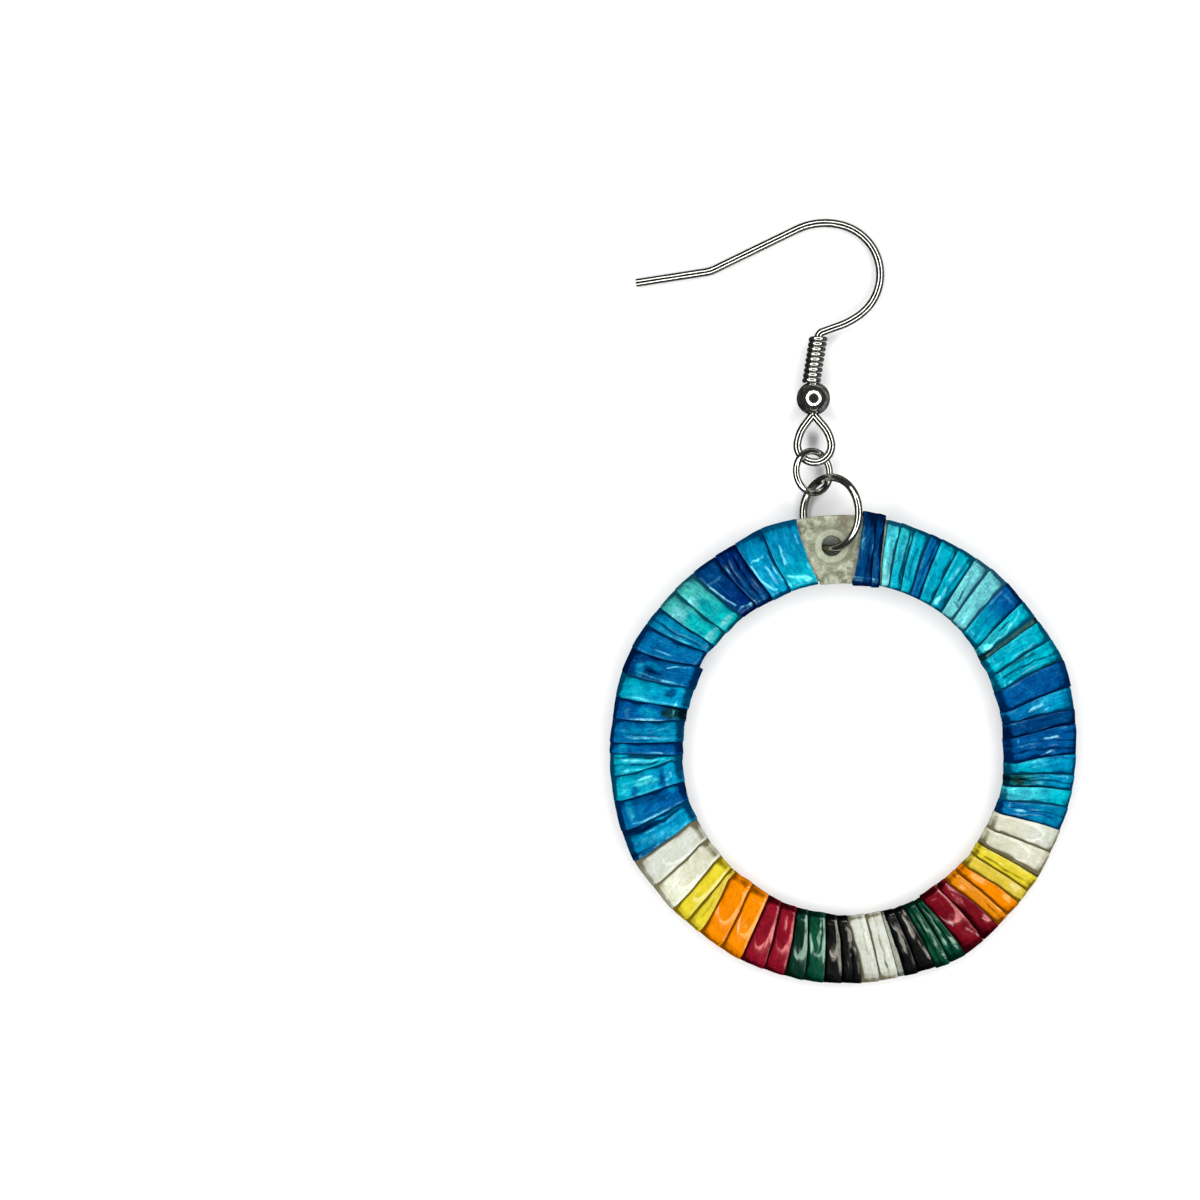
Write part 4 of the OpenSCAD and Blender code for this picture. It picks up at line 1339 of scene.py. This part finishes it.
def dyed_quill(dye_name):
    """Flattened quill: dye that took unevenly along the grain, with a gloss, painted highlights
    and painted shade.
    """
    material, finish = new_material(dye_name.replace("_", " ") + " quill")
    pale = dye_name in PALE_DYES
    blue = dye_name not in SHEEN
    tones = TONES_BLUE if blue else TONES_PALE if pale else TONES_DARK
    low, high, crease_highlight, shade = tones
    lay = finish.painted("lay", 1)
    dye = finish.painted("dye", 0)
    # Painted highlight (above zero) and painted shade (below zero) of each point
    painted_light = finish.painted("painted_light", 2)
    grain = finish.streaks(lay, (6.0, 0.9, 1.0), 4.0, 0.6)
    blots = finish.streaks(lay, (1.5, 1.1, 1.0), 4.0, 0.6)
    flecks = finish.streaks(lay, (3.4, 4.2, 3.0), 3.0, 0.65)
    specks = finish.streaks(lay, (8.0, 8.0, 5.0), 2.0, 0.7)
    fibres = finish.streaks(lay, (9.0, 3.2, 4.0), 2.0, 0.7)
    tone = blots.step(0.36, 0.64) * 0.3 + grain.step(0.36, 0.64) * 0.26
    tone = tone + flecks.step(0.38, 0.62) * 0.22 + specks.step(0.36, 0.64) * 0.1
    tone = tone + fibres.step(0.38, 0.62) * 0.12
    bright = finish.times(dye, high)
    colour = finish.blend(tone, finish.times(dye, low), bright)
    gain, light = SHEEN.get(dye_name, SHEEN_BLUE)
    sheen = finish.blend(1.0, finish.times(dye, (gain, gain, gain)), light, "ADD")
    # Painted highlights along creases, as thin wandering lines
    crease_lines = finish.streaks(lay, (2.2, 0.4, 1.0), 2.0, 0.5)
    crease_lines = crease_lines.step(0.465, 0.5) - crease_lines.step(0.5, 0.535)
    lit = finish.blend(0.12, bright, sheen)
    colour = finish.blend(crease_lines * blots.step(0.4, 0.6) * crease_highlight, colour, lit)
    # Painted highlights: where the painted light is above zero the colour goes to the sheen, with
    # crisp bits in the middle of them
    if blue or pale:
        painted_sheen = flecks.step(0.3, 0.7) * 0.5 + specks.step(0.3, 0.7) * 0.3 + 0.3
    else:
        painted_sheen = grain.step(0.38, 0.6) * 0.7 + flecks.step(0.35, 0.65) * 0.35 + 0.12
    crisp = (painted_light + (fibres - 0.5) * 1.2 + (grain - 0.5) * 1.2).step(0.5, 0.8)
    painted_sheen = painted_light.step(0.0, 1.15) * painted_sheen * 0.8 + crisp * painted_light.step(0.1, 0.5) * 0.35
    colour = finish.blend(painted_sheen.at_most(1.0), colour, sheen)
    # The brightest painted highlights on the blues go towards a near-white painted glint
    if blue:
        colour = finish.blend(painted_sheen.step(0.6, 1.1) * 0.32, colour, GLINT_BLUE)
    # Painted shade: below zero the colour goes to the dye in its deepest shade
    painted_shade = (painted_light * -1.0).step(0.1, 1.1) * 0.98
    colour = finish.blend(painted_shade, colour, finish.times(dye, shade))
    relief = grain * 0.6 + blots * 0.4 + specks * 0.2 + crease_lines * 0.25
    gloss = 0.45 if blue else 1.0
    finish.surface(
        {
            "Base Color": colour,
            "Roughness": 0.55 + specks * 0.15,
            "Specular IOR Level": 0.0,
            "Coat Weight": (1.0 - (painted_light * -4.0).at_least(0.0).at_most(1.0)) * gloss,
            "Coat Roughness": 0.1,
            "Coat IOR": 1.5,
            "Normal": finish.bump(relief, 0.00012, 0.4),
        }
    )
    return material


# Colours of the rawhide: where it is clear and where it is cloudy, where it is
# warm, round the pressed ring, in the ring, and the painted shade down in the hole
HIDE_CLEAR = (0.1, 0.105, 0.06)
HIDE_CLOUDY = (0.38, 0.41, 0.3)
HIDE_WARM = (0.2, 0.165, 0.1)
HIDE_BORDER = (0.13, 0.135, 0.085)
HIDE_PRESSED = (0.38, 0.41, 0.31)
HIDE_HOLE_SHADE = (0.05, 0.048, 0.028)


def rawhide():
    """Scraped hide: cloudy, half clear, paler in the pressed ring round the hole, with painted
    shade down in the hole.
    """
    material, finish = new_material("translucent rawhide")
    place = finish.place_in_mm()
    clouds = finish.cloud(place, 0.75, 5.0, 0.62)
    flecks = finish.cloud(place, 2.6, 4.0, 0.65)
    fine = finish.cloud(place, 9.0, 2.0, 0.5)
    x, y = polar(HOLE_R, HOLE_DEG)
    lean = math.radians(HOOP_LEAN)
    middle = (x, HOOP_PLACE[1] + y * math.cos(lean), HOOP_PLACE[2] + y * math.sin(lean))
    away = finish.node(
        "ShaderNodeVectorMath", {"operation": "DISTANCE"}, {0: place, 1: middle}, output=1
    )
    wander = away + (flecks - 0.5) * 0.8
    pressed = (away * 0.6 + wander * 0.4).step(0.95, 1.1) - wander.step(1.45, 1.7)
    border = wander.step(1.6, 1.8) - wander.step(1.9, 2.3)
    tone = clouds.step(0.4, 0.62) * 0.5 + flecks.step(0.4, 0.62) * 0.5
    colour = finish.blend(tone, HIDE_CLEAR, HIDE_CLOUDY)
    warm = finish.cloud(place, 0.45, 3.0, 0.6).step(0.5, 0.68)
    colour = finish.blend(warm * 0.6, colour, HIDE_WARM)
    colour = finish.blend(border * 0.5, colour, HIDE_BORDER)
    colour = finish.blend(pressed * 0.5, colour, HIDE_PRESSED)
    # Painted shade down in the hole
    colour = finish.blend(1.0 - away.step(0.86, 0.96), colour, HIDE_HOLE_SHADE)
    relief = clouds * 0.4 + flecks * 0.4 + fine * 0.2
    finish.surface(
        {
            "Base Color": colour,
            "Roughness": 0.5 + fine * 0.2,
            "Normal": finish.bump(relief, 0.0002, 0.8),
        }
    )
    return material


def plating(name, colour, rough):
    """Bright plated wire, drawn slightly uneven and dulled in fine scuffs."""
    material, finish = new_material(name)
    place = finish.place_in_mm()
    waves = finish.cloud(place, 1.1, 2.0, 0.5)
    scuffs = finish.cloud(place, 7.0, 4.0, 0.65)
    dull = [c * 0.7 for c in colour]
    finish.surface(
        {
            "Base Color": finish.blend(scuffs.step(0.4, 0.7), colour, dull),
            "Metallic": 1.0,
            "Specular Tint": (0.4, 0.4, 0.4, 1.0),
            "Roughness": rough + scuffs.step(0.35, 0.75) * 0.12,
            "Normal": finish.bump(waves, 0.00018, 0.22),
        }
    )
    return material


def dress(piece, material):
    """Gives the whole piece one material."""
    piece.data.materials.clear()
    piece.data.materials.append(material)


def dress_node(name, material):
    """Gives a CAD node another material, in the slots that it has."""
    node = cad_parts[name]
    for slot in node.material_slots:
        slot.material = material
    if not node.material_slots:
        node.data.materials.append(material)


# Table, lamps and camera

# The camera stands over the middle of the photograph
CAMERA_HIGH = 396.45
PHOTO_MIDDLE = 600
EARRING_COLUMN = 843.1
CAMERA_X = (PHOTO_MIDDLE - EARRING_COLUMN) / PIXELS_PER_MM
SENSOR = 36
LENS = 135
TABLE_R = 1600
BACKDROP_R = 620
# A ring of lamps: how far away they are, how far from overhead, how wide each
# looks from the table, the share of the ring that they fill, and their power
LAMPS = 14
LAMP_AWAY = 1200
LAMP_DEG = 44
LAMP_WIDE_DEG = 17
LAMP_FILL = 0.96
LAMP_POWER = 2.35
# Brightness of the room overhead
OVERHEAD = 0.045


def lay_table():
    """A pale table, which the bright pieces don't mirror."""
    clear_selection()
    bpy.ops.mesh.primitive_circle_add(vertices=96, radius=TABLE_R * MM, fill_type="NGON")
    table = bpy.context.object
    table.name = "table"
    table.visible_glossy = False
    material, finish = new_material("pale table")
    grain = finish.cloud(finish.node("ShaderNodeTexCoord", output=3), 900.0, 3.0, 0.5)
    finish.surface(
        {
            "Base Color": (0.9, 0.9, 0.9, 1.0),
            "Roughness": 0.75 + grain * 0.1,
            "Specular IOR Level": 0.2,
        }
    )
    dress(table, material)


def hang_backdrop():
    """A pale room round the table, which only the camera sees."""
    clear_selection()
    bpy.ops.mesh.primitive_uv_sphere_add(segments=48, ring_count=24, radius=BACKDROP_R * MM)
    backdrop = bpy.context.object
    backdrop.name = "backdrop"
    open_mesh(backdrop)
    bpy.ops.mesh.flip_normals()
    close_mesh()
    for ray in ("diffuse", "glossy", "transmission", "volume_scatter", "shadow"):
        setattr(backdrop, "visible_" + ray, False)
    material, finish = new_material("pale backdrop")
    glow = finish.node("ShaderNodeEmission", None, {"Color": (1.0, 1.0, 1.0, 1.0)})
    finish.node("ShaderNodeOutputMaterial", None, {"Surface": glow})
    dress(backdrop, material)


def hang_lamps():
    """A ring of soft lamps over the table."""
    ring_r = LAMP_AWAY * math.sin(math.radians(LAMP_DEG)) * MM
    high = LAMP_AWAY * math.cos(math.radians(LAMP_DEG)) * MM
    for index in range(LAMPS):
        turn = math.radians(360 * index / LAMPS)
        light = bpy.data.lights.new("lamp", "AREA")
        light.shape = "RECTANGLE"
        light.size = 2 * math.pi * ring_r / LAMPS * LAMP_FILL
        light.size_y = 2 * LAMP_AWAY * math.tan(math.radians(LAMP_WIDE_DEG / 2)) * MM
        light.energy = LAMP_POWER
        lamp = bpy.data.objects.new("lamp", light)
        bpy.context.scene.collection.objects.link(lamp)
        lamp.location = (ring_r * math.cos(turn), ring_r * math.sin(turn), high)
        lamp.rotation_euler = (-lamp.location).to_track_quat("-Z", "Y").to_euler()
        lamp.visible_camera = False


def light_room():
    """Dark overhead; below, unevenly lit surroundings, lighter to the right."""
    world = bpy.data.worlds.new("room")
    world.use_nodes = True
    room = Finish(world.node_tree)
    towards = room.node("ShaderNodeTexCoord")
    height = room.node("ShaderNodeSeparateXYZ", None, {0: towards}, output=2)
    aside = room.node("ShaderNodeSeparateXYZ", None, {0: towards}, output=0)
    patches = room.cloud(towards, 2.4, 2.0, 0.5)
    low = (patches.step(0.35, 0.65) * 0.8 + 0.25) * (aside.step(-1.0, 0.8) * 0.3 + 0.06)
    below = 1.0 - height.step(-0.06, 0.0)
    shade = below * (low - OVERHEAD) + OVERHEAD
    light = room.node("ShaderNodeBackground", None, {"Color": shade})
    room.node("ShaderNodeOutputWorld", None, {"Surface": light})
    bpy.context.scene.world = world


def place_camera():
    """A camera that looks straight down, as for the photograph."""
    data = bpy.data.cameras.new("camera")
    data.sensor_width = SENSOR
    data.lens = LENS
    data.clip_start = 0.01
    camera = bpy.data.objects.new("camera", data)
    camera.location = (CAMERA_X * MM, 0, CAMERA_HIGH * MM)
    bpy.context.scene.collection.objects.link(camera)
    bpy.context.scene.camera = camera
    bpy.context.scene.view_settings.view_transform = "Standard"


lay_table()
hang_backdrop()
hang_lamps()
light_room()
place_camera()

band = rawhide_band()
dress(band, rawhide())
dyes = {}
for quill, dye_name in wind_quills():
    if dye_name not in dyes:
        dyes[dye_name] = dyed_quill(dye_name)
    dress(quill, dyes[dye_name])
    dye_name + "_quill"
wire_plating = plating("ear wire plating", (0.52, 0.51, 0.47), 0.08)
ring_plating = plating("ring plating", (0.5, 0.49, 0.45), 0.08)
ball_plating = plating("ball plating", (0.6, 0.6, 0.57), 0.06)
dress(wind_coil(), wire_plating)
dress_node("ear_wire", wire_plating)
dress_node("hoop_ring", ring_plating)
dress_node("link_ring", ring_plating)
dress_node("ball", ball_plating)
